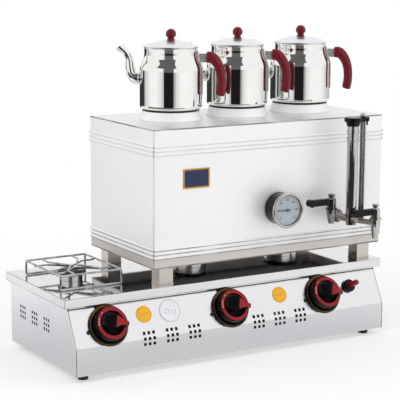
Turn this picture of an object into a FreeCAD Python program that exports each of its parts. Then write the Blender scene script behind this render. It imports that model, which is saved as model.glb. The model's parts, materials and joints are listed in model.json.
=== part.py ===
"""Countertop gas tea urn on a three-burner stove, with three teapots, a coffee grate and a double tap set.

Frame: millimetres, +Z up, X to the right seen from the front, Y from the front to the back.
The origin is on the resting surface, below the middle of the whole outline.
"""
import FreeCAD, Part
import math
import os
import re
import Sketcher
from FreeCAD import Placement, Rotation, Vector

os.makedirs("parts", exist_ok=True)
doc = FreeCAD.newDocument("tea_urn")
sheet = doc.addObject("Spreadsheet::Sheet", "sizes")

# Driving dimensions. The comment after each one says what it measures.
SIZES = (
    ("fit_gap", 0.3),  # clearance between pieces that only lie against each other
    ("run_gap", 0.05),  # radial clearance of a turning or sliding fit
    ("sheet_metal", 1.2),  # thickness of the stove's stainless sheet
    # Stove case
    ("base_width", 800),
    ("base_depth", 330),
    ("base_front", -142.5),  # y of the front panel's lower face
    ("base_height", 159.4),  # case bottom to the underside of the worktop sheet
    ("bend_height", 59.9),  # case bottom to the bend of the front panel
    ("slope_rise", 76.7),
    ("slope_run", 39.3),
    ("flange_width", 16),  # folded edge along the bottom of the front panel
    ("foot_height", 15),
    ("foot_radius", 13),
    ("foot_inset", 32),
    ("foot_screw_radius", 3),
    ("worktop_width", 820),
    ("worktop_step", 28),  # front panel face back to the worktop's front edge
    ("worktop_depth", 306),
    ("lip_height", 19.1),
    # Square vent holes, in groups of three by three
    ("vent_side", 6.5),
    ("vent_pitch", 11.4),
    ("vent_group_pitch", 56),
    ("vent_left_start", -224),
    ("vent_right_start", 54),
    ("side_vent_pitch", 62),
    ("side_vent_start", 142),  # front panel face to the first side group
    ("side_vent_height", 81),
    # Controls on the sloping panel
    ("knob_left", -315),
    ("knob_middle", -13),
    ("knob_right", 237),
    ("control_share", 0.47),  # how far up the slope the knobs sit
    ("bezel_radius", 45),
    ("bezel_height", 7),
    ("bezel_floor", 3),
    ("knob_radius", 35),
    ("knob_foot_radius", 38),
    ("knob_start", 8.5),  # panel face to the underside of the knob
    ("knob_face", 25),  # panel face to the knob's ring face
    ("knob_hollow_radius", 27),
    ("knob_hollow_depth", 6),
    ("grip_tail", 36),  # knob axis to the plain end of its grip bar
    ("grip_point", 30.5),
    ("grip_width", 18),
    ("grip_top", 46),
    ("knob_rest", -19),  # angle of the pointer from the panel's length
    ("spindle_radius", 4),
    ("spindle_tip", 28),
    ("push_travel", 4),
    ("valve_radius", 12),
    ("valve_length", 38),
    ("plug_radius", 7),
    ("plug_length", 26),
    ("rail_reach", 50),  # panel face back to the gas rail's axis
    ("rail_radius", 9),
    ("rail_end", 36),  # rail past the outer valve, and the return pipe's place
    ("inlet_radius", 10.48),
    ("inlet_length", 16),  # threaded end beyond the lock nut
    ("inlet_nut", 5),
    ("feed_radius", 4),
    ("feed_bend", 16),
    ("feed_height", 93),  # case bottom to the feed pipes' axis
    ("igniter_place", 315),
    ("igniter_share", 0.59),
    ("igniter_radius", 15),
    ("igniter_collar", 11),
    ("igniter_barrel", 8),
    ("igniter_depth", 34),
    ("button_radius", 6.3),
    ("button_tip", 39),
    ("button_travel", 6),
    ("disc_radius", 18.5),
    ("disc_left", -226),
    ("disc_right", 123),
    ("disc_share", 0.625),
    ("clear_disc_radius", 25),
    ("clear_disc_place", -162.5),
    ("disc_thickness", 0.8),
    # Burners
    ("burner_back", 192),  # front panel face back to the burners' axes
    ("hob_radius", 37.5),
    ("hob_cap_radius", 41),
    ("side_radius", 24),
    ("side_cap_radius", 30),
    ("burner_height", 14),
    ("burner_cap_height", 9),
    ("burner_wall", 2),
    ("burner_neck", 13),  # how much the part below the worktop is smaller in radius
    ("burner_bowl", 22),
    ("jet_radius", 8),
    ("jet_length", 16),
    ("port_width", 2.4),
    ("port_count", 24),
    # Wire grate
    ("wire_radius", 2.35),
    ("wire_step", 0.1),  # rails are this much thinner than the legs, and bent rods again
    ("weld_sink", 0.7),  # how far crossing rods sink into each other
    ("grate_width", 145),
    ("grate_depth", 178),
    ("grate_rise", 30),
    ("grate_back", 190),  # front panel face back to the grate's middle
    ("grate_place", -312),
    ("grate_bend", 38),  # straight part of each bent rod, from its rail
    ("grate_waist", 7),  # how near the bent rods come to the middle
    # Water tank
    ("tank_sheet", 1.0),
    ("tank_left", -196),
    ("tank_width", 606),
    ("tank_step", 34),  # front panel face back to the tank's front
    ("tank_depth", 300),
    ("tank_clear", 38.8),  # worktop up to the tank's lower edge
    ("tank_height", 301.5),
    ("tank_corner", 2),
    ("skirt_height", 23),
    ("bead_height", 1.6),
    ("bead_width", 5),
    ("bead_pitch", 9),
    ("bead_drop", 36.9),  # tank top down to the highest bead
    ("leg_side", 33.8),
    ("leg_wall", 1.5),
    ("leg_inset_x", 20.2),
    ("leg_inset_y", 11.9),
    ("leg_plate", 1.6),
    ("leg_screw_radius", 3),
    ("leg_screw_height", 10),
    ("lid_skirt", 10),
    # Teapot seats
    ("pot_first", -61),
    ("pot_pitch", 175.8),
    ("pot_back", 198),  # front panel face back to the teapots' axes
    ("seat_height", 19),
    ("seat_foot_radius", 69),
    ("seat_top_radius", 65),
    ("seat_hole_radius", 50),
    ("seat_flange", 4),
    # Teapots
    ("pot_wall", 1.0),
    ("pot_radius", 70),
    ("pot_neck_radius", 59.5),
    ("pot_height", 141),
    ("pot_shoulder_low", 88),
    ("pot_shoulder_high", 127),
    ("pot_corner", 7),
    ("pot_foot_radius", 64),
    ("pot_foot_height", 3.5),
    ("pot_turn", -31),  # angle of the handle from the tank's front
    ("strap_width", 12),
    ("strap_thickness", 2.5),
    ("strap_low", 35),
    ("strap_high", 133),
    ("tang_low", 107),
    ("tang_high", 127),
    ("tang_reach", 88),
    ("tang_thickness", 3),
    ("dome_height", 13),
    ("lid_radius", 61.5),
    ("lid_rim", 2.5),
    ("lid_ring_depth", 8),
    ("ball_radius", 11.5),
    ("ball_neck", 7),
    ("ball_foot", 3),
    # Nameplate and thermometer
    ("plate_left", -124),
    ("plate_width", 66),
    ("plate_low", 169.6),  # tank's lower edge up to the plate's
    ("plate_height", 43),
    ("plate_thickness", 1.2),
    ("gauge_place", 119),
    ("gauge_height", 108.6),  # tank's lower edge up to the gauge's axis
    ("gauge_radius", 40),
    ("gauge_case_radius", 36),
    ("gauge_stand", 5),  # tank face to the back of the case
    ("gauge_depth", 44),
    ("gauge_bezel", 8),
    ("dial_radius", 34),
    ("dial_inset", 7.5),
    ("glass_thickness", 1.6),
    ("needle_length", 26),
    ("needle_tail", 9),
    ("stem_radius", 5),
    ("stem_length", 95),
    # Tap set
    ("hub_place", 281.6),
    ("hub_stand", 60),  # tank face out to the hub's axis
    ("hub_height", 75.9),  # tank's lower edge up to the hub's axis
    ("hub_radius", 12),
    ("hub_nut_radius", 8),
    ("hub_nut_length", 8),
    ("outlet_radius", 9),
    ("outlet_nut_radius", 15),
    ("outlet_nut_length", 10),
    ("arm_radius", 6.5),
    ("arm_turn", 28.7),  # the arms stand this far from the tank's front
    ("left_arm", 45),
    ("right_arm", 56),
    ("left_rise", 14),
    ("right_rise", -9),
    ("tap_collar_radius", 14),
    ("tap_collar", 4),
    ("tap_body_radius", 12),
    ("tap_tip_radius", 6.5),
    ("left_nozzle", 36),
    ("right_nozzle", 48),
    ("tap_bore", 4.5),
    ("arm_drop", 13),  # collar top down to the arm's axis
    ("key_plug_radius", 7),
    ("key_plug_length", 19),
    ("key_radius", 10.5),
    ("key_height", 22),
    ("key_neck_radius", 6),
    ("key_neck", 3),
    ("key_button_radius", 8.5),
    ("key_button", 7),
    ("lever_length", 57),
    ("lever_height", 15),
    ("lever_width", 9),
    ("lever_place", 14),  # collar top up to the lever's middle
    ("lever_end_radius", 8.6),
    ("lever_end_width", 14),
    # Filter canister and sight tube
    ("canister_radius", 12.5),
    ("canister_length", 200),
    ("canister_wall", 1.2),
    ("canister_ring_radius", 13.8),
    ("canister_head", 34),
    ("cap_flange_radius", 20),
    ("cap_flange", 10),
    ("cap_cone", 10),
    ("cap_plug", 14),
    ("sight_offset", 28),
    ("sight_radius", 4),
    ("sight_bore", 2.6),
    ("sight_length", 215),
    ("guard_radius", 7.5),
    ("guard_wall", 1),
    ("cup_radius", 7),
    ("cup_height", 16),
    ("bracket_height", 9.5),
    ("bracket_reach", 11),
    ("finial_radius", 7),
    ("finial_height", 9),
)

# Places that follow from the driving dimensions.
DERIVED = (
    ("case_low", "foot_height"),
    ("panel_lean", "atan(slope_run / slope_rise) / 1 deg"),
    ("bend_shift", "sheet_metal * tan(panel_lean / 2)"),
    ("worktop_top", "foot_height + base_height + sheet_metal"),
    ("worktop_front", "base_front + worktop_step"),
    ("inner_width", "base_width - 2 * sheet_metal - 2 * fit_gap"),
    ("control_y", "base_front + slope_run * control_share"),
    ("control_z", "case_low + bend_height + slope_rise * control_share"),
    ("rail_y", "control_y + rail_reach * cos(panel_lean)"),
    ("rail_z", "control_z - rail_reach * sin(panel_lean)"),
    ("rail_right", "igniter_place + rail_end"),
    ("base_back", "base_front + base_depth"),
    ("burner_y", "base_front + burner_back"),
    ("grate_y", "base_front + grate_back"),
    ("tank_front", "base_front + tank_step"),
    ("tank_low", "worktop_top + tank_clear"),
    ("tank_top_z", "tank_low + tank_height"),
    ("tank_floor", "tank_low + skirt_height"),
    ("leg_height", "tank_floor - worktop_top - 2 * fit_gap"),
    ("pot_y", "base_front + pot_back"),
    ("pot_z", "tank_top_z + seat_height + 2 * fit_gap"),
    ("hub_y", "tank_front - hub_stand"),
    ("hub_z", "tank_low + hub_height"),
    ("canister_low", "hub_z + hub_radius + fit_gap"),
    ("canister_high", "canister_low + canister_length"),
    ("sight_x", "hub_place + sight_offset"),
    ("sight_low", "hub_z + 4"),
    ("gauge_z", "tank_low + gauge_height"),
    ("gauge_back", "tank_front - gauge_stand"),
)

NAMES = {name for name, _ in SIZES + DERIVED}


def bound(text):
    """An expression over the sheet's names, written for an object's property."""
    return re.sub(
        r"[a-z_][a-z_0-9]*",
        lambda m: "sizes." + m.group() if m.group() in NAMES else m.group(),
        str(text),
    )


for row, (name, amount) in enumerate(SIZES, start=1):
    sheet.set(f"A{row}", name)
    sheet.set(f"B{row}", str(amount))
    sheet.setAlias(f"B{row}", name)
for row, (name, formula) in enumerate(DERIVED, start=len(SIZES) + 1):
    sheet.set(f"A{row}", name)
    sheet.set(f"B{row}", "=" + formula)
    sheet.setAlias(f"B{row}", name)
doc.recompute()


def number(text):
    """The present value of an expression, in millimetres or degrees."""
    result = sheet.evalExpression(str(text))
    return float(getattr(result, "Value", result))


def bind(item, **properties):
    """Tie an object's properties to expressions; x, y and z place it and turn is its angle."""
    paths = {
        "x": "Placement.Base.x",
        "y": "Placement.Base.y",
        "z": "Placement.Base.z",
        "turn": "Placement.Rotation.Angle",
    }
    for key, text in properties.items():
        item.setExpression(paths.get(key, key), bound(text))
    return item


# Directions in which a solid of revolution can be laid: its own Z becomes this one.
AXES = {
    "up": Rotation(),
    "right": Rotation(Vector(0, 1, 0), 90),
    "front": Rotation(Vector(1, 0, 0), 90),
    "back": Rotation(Vector(1, 0, 0), -90),
}


def box(name, at, dims):
    item = doc.addObject("Part::Box", name)
    bind(item, Length=dims[0], Width=dims[1], Height=dims[2])
    return bind(item, x=at[0], y=at[1], z=at[2])


def rod(name, radius, length, at=("0", "0", "0"), axis="up"):
    item = doc.addObject("Part::Cylinder", name)
    item.Placement = Placement(Vector(), AXES[axis])
    bind(item, Radius=radius, Height=length)
    return bind(item, x=at[0], y=at[1], z=at[2])


def taper(name, low_radius, high_radius, length, at=("0", "0", "0"), axis="up"):
    item = doc.addObject("Part::Cone", name)
    item.Placement = Placement(Vector(), AXES[axis])
    bind(item, Radius1=low_radius, Radius2=high_radius, Height=length)
    return bind(item, x=at[0], y=at[1], z=at[2])


def fuse(name, *pieces):
    item = doc.addObject("Part::MultiFuse", name)
    item.Shapes = list(pieces)
    return item


def cut(name, stock, *tools):
    item = doc.addObject("Part::Cut", name)
    item.Base = stock
    item.Tool = tools[0] if len(tools) == 1 else fuse(name + "_tools", *tools)
    return item


def group(name, *pieces):
    """Several separate solids that are kept under one name."""
    item = doc.addObject("Part::Compound", name)
    item.Links = list(pieces)
    return item


def origin_plane(body, role):
    return next(item for item in body.Origin.OriginFeatures if item.Role == role)


def outline_sketch(body, role, points, name="outline"):
    """A closed sketch. Each point is (x, y), or (x, y, radius, side) where an arc leaves it."""
    sketch = body.newObject("Sketcher::SketchObject", body.Name + "_" + name)
    sketch.AttachmentSupport = [(origin_plane(body, role), "")]
    sketch.MapMode = "FlatFace"
    draw_outline(sketch, points)
    return sketch


def draw_outline(sketch, points):
    places = [Vector(number(point[0]), number(point[1]), 0) for point in points]
    first = sketch.GeometryCount
    ends = []
    for index, point in enumerate(points):
        start = places[index]
        stop = places[(index + 1) % len(points)]
        if len(point) == 2:
            sketch.addGeometry(Part.LineSegment(start, stop), False)
            ends.append((1, 2))
            continue
        radius = number(point[2])
        left = point[3] == "left"
        chord = stop - start
        normal = Vector(-chord.y, chord.x, 0).normalize() * (1 if left else -1)
        centre = (start + stop) * 0.5 + normal * math.sqrt(max(radius ** 2 - (chord.Length / 2) ** 2, 0))
        angles = [math.atan2(end.y - centre.y, end.x - centre.x) for end in (start, stop)]
        if not left:
            angles.reverse()
        sketch.addGeometry(Part.ArcOfCircle(Part.Circle(centre, Vector(0, 0, 1), radius), *angles), False)
        ends.append((1, 2) if left else (2, 1))
        dimension = sketch.addConstraint(Sketcher.Constraint("Radius", first + index, radius))
        sketch.setExpression(f"Constraints[{dimension}]", bound(point[2]))
    for index, point in enumerate(points):
        following = (index + 1) % len(points)
        joined = Sketcher.Constraint(
            "Coincident",
            first + index,
            ends[index][1],
            first + following,
            ends[following][0],
        )
        sketch.addConstraint(joined)
        for kind, text, amount in zip(("DistanceX", "DistanceY"), point, places[index]):
            corner = Sketcher.Constraint(kind, -1, 1, first + index, ends[index][0], amount)
            dimension = sketch.addConstraint(corner)
            sketch.setExpression(f"Constraints[{dimension}]", bound(text))


def turned(name, points, axis="up", at=("0", "0", "0")):
    """A solid of revolution about Z from an outline of (radius, height) points."""
    body = doc.addObject("PartDesign::Body", name)
    sketch = outline_sketch(body, "XZ_Plane", points)
    revolution = body.newObject("PartDesign::Revolution", name + "_revolution")
    revolution.Profile = sketch
    revolution.ReferenceAxis = (sketch, ["V_Axis"])
    revolution.Angle = 360
    body.Placement = Placement(Vector(), AXES[axis])
    return bind(body, x=at[0], y=at[1], z=at[2])


def padded(name, role, points, length, centred=False):
    """A plate or bar: an outline on one of the origin planes, pulled to its length."""
    body = doc.addObject("PartDesign::Body", name)
    sketch = outline_sketch(body, role, points)
    pad = body.newObject("PartDesign::Pad", name + "_pad")
    pad.Profile = sketch
    pad.setExpression("Length", bound(length))
    pad.Midplane = centred
    return body


def square_vents(body, role, left, middle_height, groups, step, name, reverse=False):
    """Three by three square holes, repeated along the panel."""
    sketch = body.newObject("Sketcher::SketchObject", name + "_holes")
    sketch.AttachmentSupport = [(origin_plane(body, role), "")]
    sketch.MapMode = "FlatFace"
    for column in (-1, 0, 1):
        for line in (-1, 0, 1):
            x = f"({left}) + {column} * vent_pitch"
            z = f"({middle_height}) + {line} * vent_pitch"
            corners = [
                (f"{x} + {i} * vent_side / 2", f"{z} + {k} * vent_side / 2")
                for i, k in ((-1, -1), (1, -1), (1, 1), (-1, 1))
            ]
            draw_outline(sketch, corners)
    holes = body.newObject("PartDesign::Pocket", name)
    holes.Profile = sketch
    holes.Type = "ThroughAll"
    holes.Midplane = True
    holes.Reversed = reverse
    doc.recompute()
    row = body.newObject("PartDesign::LinearPattern", name + "_row")
    row.Originals = [holes]
    row.Direction = (sketch, ["H_Axis"])
    row.Mode = "Extent"
    row.setExpression("Length", bound(f"({groups} - 1) * {step}"))
    row.Occurrences = groups
    body.Tip = row
    return row


def on_panel(item, x, share, lift="0"):
    """Stand a piece on the sloping panel, its own Z square to the panel, lift above its face."""
    item.Placement = Placement(Vector(), Rotation(Vector(1, 0, 0), 60))
    return bind(
        item,
        x=x,
        y=f"base_front + slope_run * {share} - ({lift}) * cos(panel_lean)",
        z=f"case_low + bend_height + slope_rise * {share} + ({lift}) * sin(panel_lean)",
        turn="90 - panel_lean",
    )


NODES = []


def keep(item, name):
    """Name a finished sub-part; each one kept here becomes one file."""
    item.Label = name
    NODES.append(item)
    return item


# Front panel: one folded sheet, upright at the bottom, then sloping back, with a flange inside.
front = padded(
    "front_sheet",
    "YZ_Plane",
    [
        ("base_front", "case_low"),
        ("base_front", "case_low + bend_height"),
        ("base_front + slope_run", "case_low + bend_height + slope_rise"),
        ("base_front + slope_run", "case_low + base_height - fit_gap"),
        ("base_front + slope_run + sheet_metal", "case_low + base_height - fit_gap"),
        ("base_front + slope_run + sheet_metal", "case_low + bend_height + slope_rise - bend_shift"),
        ("base_front + sheet_metal", "case_low + bend_height - bend_shift"),
        ("base_front + sheet_metal", "case_low + sheet_metal"),
        ("base_front + flange_width", "case_low + sheet_metal"),
        ("base_front + flange_width", "case_low"),
    ],
    "inner_width",
    centred=True,
)
square_vents(
    front,
    "XZ_Plane",
    "vent_left_start",
    "case_low + bend_height",
    3,
    "vent_group_pitch",
    "vents_left",
)
square_vents(
    front,
    "XZ_Plane",
    "vent_right_start",
    "case_low + bend_height",
    3,
    "vent_group_pitch",
    "vents_right",
)

KNOBS = (("1", "knob_left"), ("2", "knob_middle"), ("3", "knob_right"))
spindle_holes = []
for number_text, place in KNOBS:
    hole = rod("spindle_hole_" + number_text, "spindle_radius + 1.5", "4 * sheet_metal")
    spindle_holes.append(on_panel(hole, place, "control_share", "-2 * sheet_metal"))
igniter_hole = rod("igniter_hole", "igniter_barrel + fit_gap", "4 * sheet_metal")
on_panel(igniter_hole, "igniter_place", "igniter_share", "-2 * sheet_metal")
keep(cut("front_panel_holed", front, igniter_hole, *spindle_holes), "front_panel")

# Case wrap: the two sides and the back, folded from one sheet, the sides cut to the panel's slope.
side_profile = [
    ("base_front", "case_low"),
    ("base_front", "case_low + bend_height"),
    ("base_front + slope_run", "case_low + bend_height + slope_rise"),
    ("base_front + slope_run", "case_low + base_height - fit_gap"),
    ("base_back", "case_low + base_height - fit_gap"),
    ("base_back", "case_low"),
]
wrap_stock = padded("wrap_stock", "YZ_Plane", side_profile, "base_width", centred=True)
square_vents(
    wrap_stock,
    "YZ_Plane",
    "base_front + side_vent_start",
    "case_low + side_vent_height",
    3,
    "side_vent_pitch",
    "vents_side",
)
wrap_room = box(
    "wrap_room",
    ("-base_width / 2 + sheet_metal", "base_front - 10", "case_low - 10"),
    ("base_width - 2 * sheet_metal", "base_depth + 10 - sheet_metal", "base_height + 20"),
)
inlet_hole = rod(
    "inlet_hole",
    "inlet_radius + fit_gap",
    "10 * sheet_metal",
    ("rail_right", "base_back - 5 * sheet_metal", "rail_z"),
    "back",
)
keep(cut("case_wrap_open", wrap_stock, wrap_room, inlet_hole), "case_wrap")

# Bottom panel: a flat sheet between the walls, behind the front flange, with a hole for each foot screw.
bottom_stock = box(
    "bottom_stock",
    ("-inner_width / 2", "base_front + flange_width + fit_gap", "case_low"),
    ("inner_width", "base_depth - flange_width - sheet_metal - 2 * fit_gap", "sheet_metal"),
)
FOOT_CORNERS = [(i, j) for i in (-1, 1) for j in (0, 1)]


def foot_place(i, j):
    x = f"{i} * (base_width / 2 - foot_inset)"
    y = f"base_front + foot_inset + {j} * (base_depth - 2 * foot_inset)"
    return x, y


foot_holes = []
feet = []
for corner, (i, j) in enumerate(FOOT_CORNERS, start=1):
    x, y = foot_place(i, j)
    foot_holes.append(
        rod(
            f"foot_hole_{corner}",
            "foot_screw_radius + fit_gap",
            "4 * sheet_metal",
            (x, y, "case_low - sheet_metal"),
        ),
    )
    foot = turned(
        f"foot_{corner}",
        [
            ("0", "0"),
            ("foot_radius - 2", "0"),
            ("foot_radius", "foot_height - fit_gap"),
            ("foot_screw_radius", "foot_height - fit_gap"),
            ("foot_screw_radius", "foot_height + 3 * sheet_metal"),
            ("0", "foot_height + 3 * sheet_metal"),
        ],
        at=(x, y, "0"),
    )
    feet.append(foot)
keep(cut("bottom_panel_holed", bottom_stock, *foot_holes), "bottom_panel")
keep(group("feet_all", *feet), "rubber_feet")

# Worktop: a polished sheet with its edges folded down, and a round hole for each burner.
worktop_stock = box(
    "worktop_stock",
    ("-worktop_width / 2", "worktop_front", "worktop_top - lip_height"),
    ("worktop_width", "worktop_depth", "lip_height"),
)
worktop_room = box(
    "worktop_room",
    ("-worktop_width / 2 + sheet_metal", "worktop_front + sheet_metal", "worktop_top - lip_height - 1"),
    ("worktop_width - 2 * sheet_metal", "worktop_depth - 2 * sheet_metal", "lip_height + 1 - sheet_metal"),
)
BURNERS = (
    ("side", "knob_left", "side_radius", "side_cap_radius"),
    ("hob_1", "knob_middle", "hob_radius", "hob_cap_radius"),
    ("hob_2", "knob_right", "hob_radius", "hob_cap_radius"),
)
burner_holes = []
for label, place, radius, _ in BURNERS:
    size = f"{radius} - burner_neck + fit_gap"
    burner_holes.append(
        rod(
            "worktop_hole_" + label,
            size,
            "4 * sheet_metal",
            (place, "burner_y", "worktop_top - 3 * sheet_metal"),
        ),
    )
keep(cut("worktop_holed", worktop_stock, worktop_room, *burner_holes), "worktop")


def burner_base(label, place, radius):
    """A bright cup that stands on the worktop, with a mixing bowl and jet holder below it."""
    neck = f"({radius} - burner_neck)"
    return turned(
        "burner_base_" + label,
        [
            ("jet_radius - 2.5", "-burner_bowl - jet_length"),
            ("jet_radius", "-burner_bowl - jet_length"),
            ("jet_radius", "-burner_bowl"),
            (neck, "-burner_bowl + 6"),
            (neck, "fit_gap"),
            (radius, "fit_gap"),
            (radius, "burner_height"),
            (f"{radius} - burner_wall", "burner_height"),
            (f"{radius} - burner_wall", "fit_gap + burner_wall"),
            (f"{neck} - burner_wall", "fit_gap + burner_wall"),
            (f"{neck} - burner_wall", "-burner_bowl + 8"),
            ("jet_radius - 2.5", "-burner_bowl + 3"),
        ],
        at=(place, "burner_y", "worktop_top"),
    )


def burner_cap(label, place, radius, cap_radius):
    """A black cap with flame ports cut round its edge, on a spigot inside the cup."""
    cap = turned(
        "burner_cap_" + label,
        [
            ("0", "fit_gap"),
            (cap_radius, "fit_gap"),
            (cap_radius, "burner_cap_height - 3"),
            (f"{cap_radius} - 4", "burner_cap_height"),
            ("0", "burner_cap_height"),
        ],
    )
    ports = cap.newObject("Sketcher::SketchObject", "port_sketch_" + label)
    ports.AttachmentSupport = [(origin_plane(cap, "XY_Plane"), "")]
    ports.MapMode = "FlatFace"
    outer = f"{cap_radius} + 1"
    inner = f"{radius} - burner_wall - 3"
    draw_outline(
        ports,
        [
            (inner, "-port_width / 2"),
            (outer, "-port_width / 2"),
            (outer, "port_width / 2"),
            (inner, "port_width / 2"),
        ],
    )
    slot = cap.newObject("PartDesign::Pocket", "port_" + label)
    slot.Profile = ports
    slot.Reversed = True
    slot.setExpression("Length", bound("fit_gap + burner_cap_height / 2"))
    doc.recompute()
    ring = cap.newObject("PartDesign::PolarPattern", "ports_" + label)
    ring.Originals = [slot]
    ring.Axis = (ports, ["N_Axis"])
    ring.Angle = 360
    ring.setExpression("Occurrences", bound("port_count"))
    cap.Tip = ring
    spigot = rod("spigot_" + label, f"{radius} - burner_wall - 4", "8", ("0", "0", "-7"))
    whole = fuse("burner_cap_whole_" + label, cap, spigot)
    return bind(whole, x=place, y="burner_y", z="worktop_top + burner_height")


bases = {label: burner_base(label, place, radius) for label, place, radius, _ in BURNERS}
caps = {burner[0]: burner_cap(*burner) for burner in BURNERS}
keep(group("burner_base_group", *bases.values()), "burner_bases")
keep(group("burner_cap_group", *caps.values()), "burner_caps")


# Wire grate: four legs, two runners on the worktop, a top frame and four bent rods towards the middle.
def wire(points, radius):
    """A round rod along points, each corner rounded to three wire radii."""
    places = [Vector(*point) for point in points]
    edges = []
    start = places[0]
    for before, corner, after in zip(places, places[1:], places[2:]):
        into = (before - corner).normalize()
        away = (after - corner).normalize()
        half = math.acos(max(-1, min(1, into.dot(away)))) / 2
        setback = 3 * radius / math.tan(half)
        first = corner + into * setback
        last = corner + away * setback
        middle = corner + (into + away).normalize() * (3 * radius / math.sin(half) - 3 * radius)
        edges.append(Part.LineSegment(start, first).toShape())
        edges.append(Part.Arc(first, middle, last).toShape())
        start = last
    edges.append(Part.LineSegment(start, places[-1]).toShape())
    path = Part.Wire(edges)
    heading = (places[1] - places[0]).normalize()
    profile = Part.Wire([Part.Circle(places[0], heading, radius).toShape()])
    return path.makePipeShell([profile], True, False)


def grate_shape():
    half_width = number("grate_width / 2")
    half_depth = number("grate_depth / 2")
    radius = number("wire_radius")
    rail = number("wire_radius - wire_step")
    bar = number("wire_radius - 2 * wire_step")
    foot = number("wire_radius + fit_gap")
    top = foot + number("grate_rise")
    low = top - number("2 * wire_radius - weld_sink")
    bend_x = half_width * (1 - number("grate_bend") / half_depth)
    bend_y = half_depth - number("grate_bend")
    waist = number("grate_waist")
    rods = []
    for side in (-1, 1):
        x = side * half_width
        y = side * half_depth
        arch = [(x, -half_depth, foot), (x, -half_depth, top), (x, half_depth, top), (x, half_depth, foot)]
        rods.append(wire(arch, radius))
        for height in (foot, top):
            rods.append(wire([(-half_width, y, height), (half_width, y, height)], rail))
        across = x / 2
        bent = [(across, -half_depth, top), (across, -bend_y, top), (side * waist, 0, top)]
        bent += [(across, bend_y, top), (across, half_depth, top)]
        rods.append(wire(bent, bar))
        along = y / 2
        bent = [(-half_width, along, low), (-bend_x, along, low), (0, side * waist, low)]
        bent += [(bend_x, along, low), (half_width, along, low)]
        rods.append(wire(bent, bar))
    return rods[0].multiFuse(rods[1:])


grate = doc.addObject("Part::Feature", "grate_wires")
grate.Shape = grate_shape()
grate.Placement = Placement(
    Vector(number("grate_place"), number("grate_y"), number("worktop_top")), Rotation()
)
keep(grate, "pan_support")

# Gas rail: a pipe behind the panel, with a return pipe to the threaded inlet at the back.
rail = rod(
    "rail_pipe",
    "rail_radius",
    "rail_right - knob_left + rail_end",
    ("knob_left - rail_end", "rail_y", "rail_z"),
    "right",
)
return_pipe = rod(
    "return_pipe",
    "rail_radius - 2",
    "base_back - rail_y",
    ("rail_right", "rail_y", "rail_z"),
    "back",
)
collar_y = "base_back - sheet_metal - fit_gap - 8"
inlet_collar = rod("inlet_collar", "inlet_radius + 4", "8", ("rail_right", collar_y, "rail_z"), "back")
spigot_y = "base_back - sheet_metal - fit_gap - 4"
spigot_length = "sheet_metal + 4 + 2 * fit_gap + inlet_nut + inlet_length"
inlet_spigot = rod(
    "inlet_spigot",
    "inlet_radius",
    spigot_length,
    ("rail_right", spigot_y, "rail_z"),
    "back",
)
inlet_nut = doc.addObject("Part::Prism", "inlet_nut_body")
inlet_nut.Polygon = 6
inlet_nut.Placement = Placement(Vector(), AXES["back"])
bind(
    inlet_nut,
    Circumradius="inlet_radius + 6",
    Height="inlet_nut",
    x="rail_right",
    y="base_back + fit_gap",
    z="rail_z",
)
inlet_bore = rod("inlet_bore", "rail_radius - 4", "base_depth", ("rail_right", "rail_y", "rail_z"), "back")
rail_bore = rod(
    "rail_bore",
    "rail_radius - 2",
    "rail_right - knob_left + rail_end - 6",
    ("knob_left - rail_end + 3", "rail_y", "rail_z"),
    "right",
)
rail_whole = fuse("rail_whole", rail, return_pipe, inlet_collar, inlet_spigot, inlet_nut)
gas_rail = cut("gas_rail_open", rail_whole, inlet_bore, rail_bore)
keep(gas_rail, "gas_rail")

# Gas valves: each a brass body on the rail, bored for its plug, with a neck towards the panel.
valves = []
feeds = []
for number_text, place in KNOBS:
    barrel = turned(
        "valve_barrel_" + number_text,
        [
            ("plug_radius + run_gap", "-sheet_metal - 2"),
            ("valve_radius", "-sheet_metal - 2"),
            ("valve_radius", "-valve_length"),
            ("rail_radius - 2", "-valve_length"),
            ("rail_radius - 2", "-rail_reach + rail_radius / 2"),
            ("0", "-rail_reach + rail_radius / 2"),
            ("0", "-sheet_metal - 3 - plug_length - fit_gap"),
            ("plug_radius + run_gap", "-sheet_metal - 3 - plug_length - fit_gap"),
        ],
    )
    on_panel(barrel, place, "control_share")
    valves.append(cut("valve_" + number_text, barrel, rail))

    start = Vector(number(place), number("control_y"), number("case_low + feed_height"))
    turn_y = number("burner_y")
    bowl_z = number("worktop_top - burner_bowl - jet_length - fit_gap")
    bend = number("feed_bend")
    first = Vector(start.x, turn_y - bend, start.z)
    last = Vector(start.x, turn_y, start.z + bend)
    middle = Vector(
        start.x,
        turn_y - bend + bend * math.sin(math.pi / 4),
        start.z + bend - bend * math.cos(math.pi / 4),
    )
    run = Part.Wire([
        Part.LineSegment(start, first).toShape(),
        Part.Arc(first, middle, last).toShape(),
        Part.LineSegment(last, Vector(start.x, turn_y, bowl_z)).toShape(),
    ])
    ring = Part.Wire([Part.Circle(start, Vector(0, 1, 0), number("feed_radius")).toShape()])
    tube = doc.addObject("Part::Feature", "feed_tube_" + number_text)
    tube.Shape = run.makePipeShell([ring], True, False)
    clearance = rod("feed_room_" + number_text, "valve_radius", "rail_reach")
    on_panel(clearance, place, "control_share", "-rail_reach")
    front_room = box(
        "feed_front_" + number_text,
        (f"{place} - 20", "base_front", "case_low"),
        ("40", "slope_run + 16", "base_height"),
    )
    feeds.append(cut("feed_" + number_text, tube, clearance, front_room))
keep(group("valve_group", *valves), "gas_valves")
keep(group("feed_group", *feeds), "feed_pipes")

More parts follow.
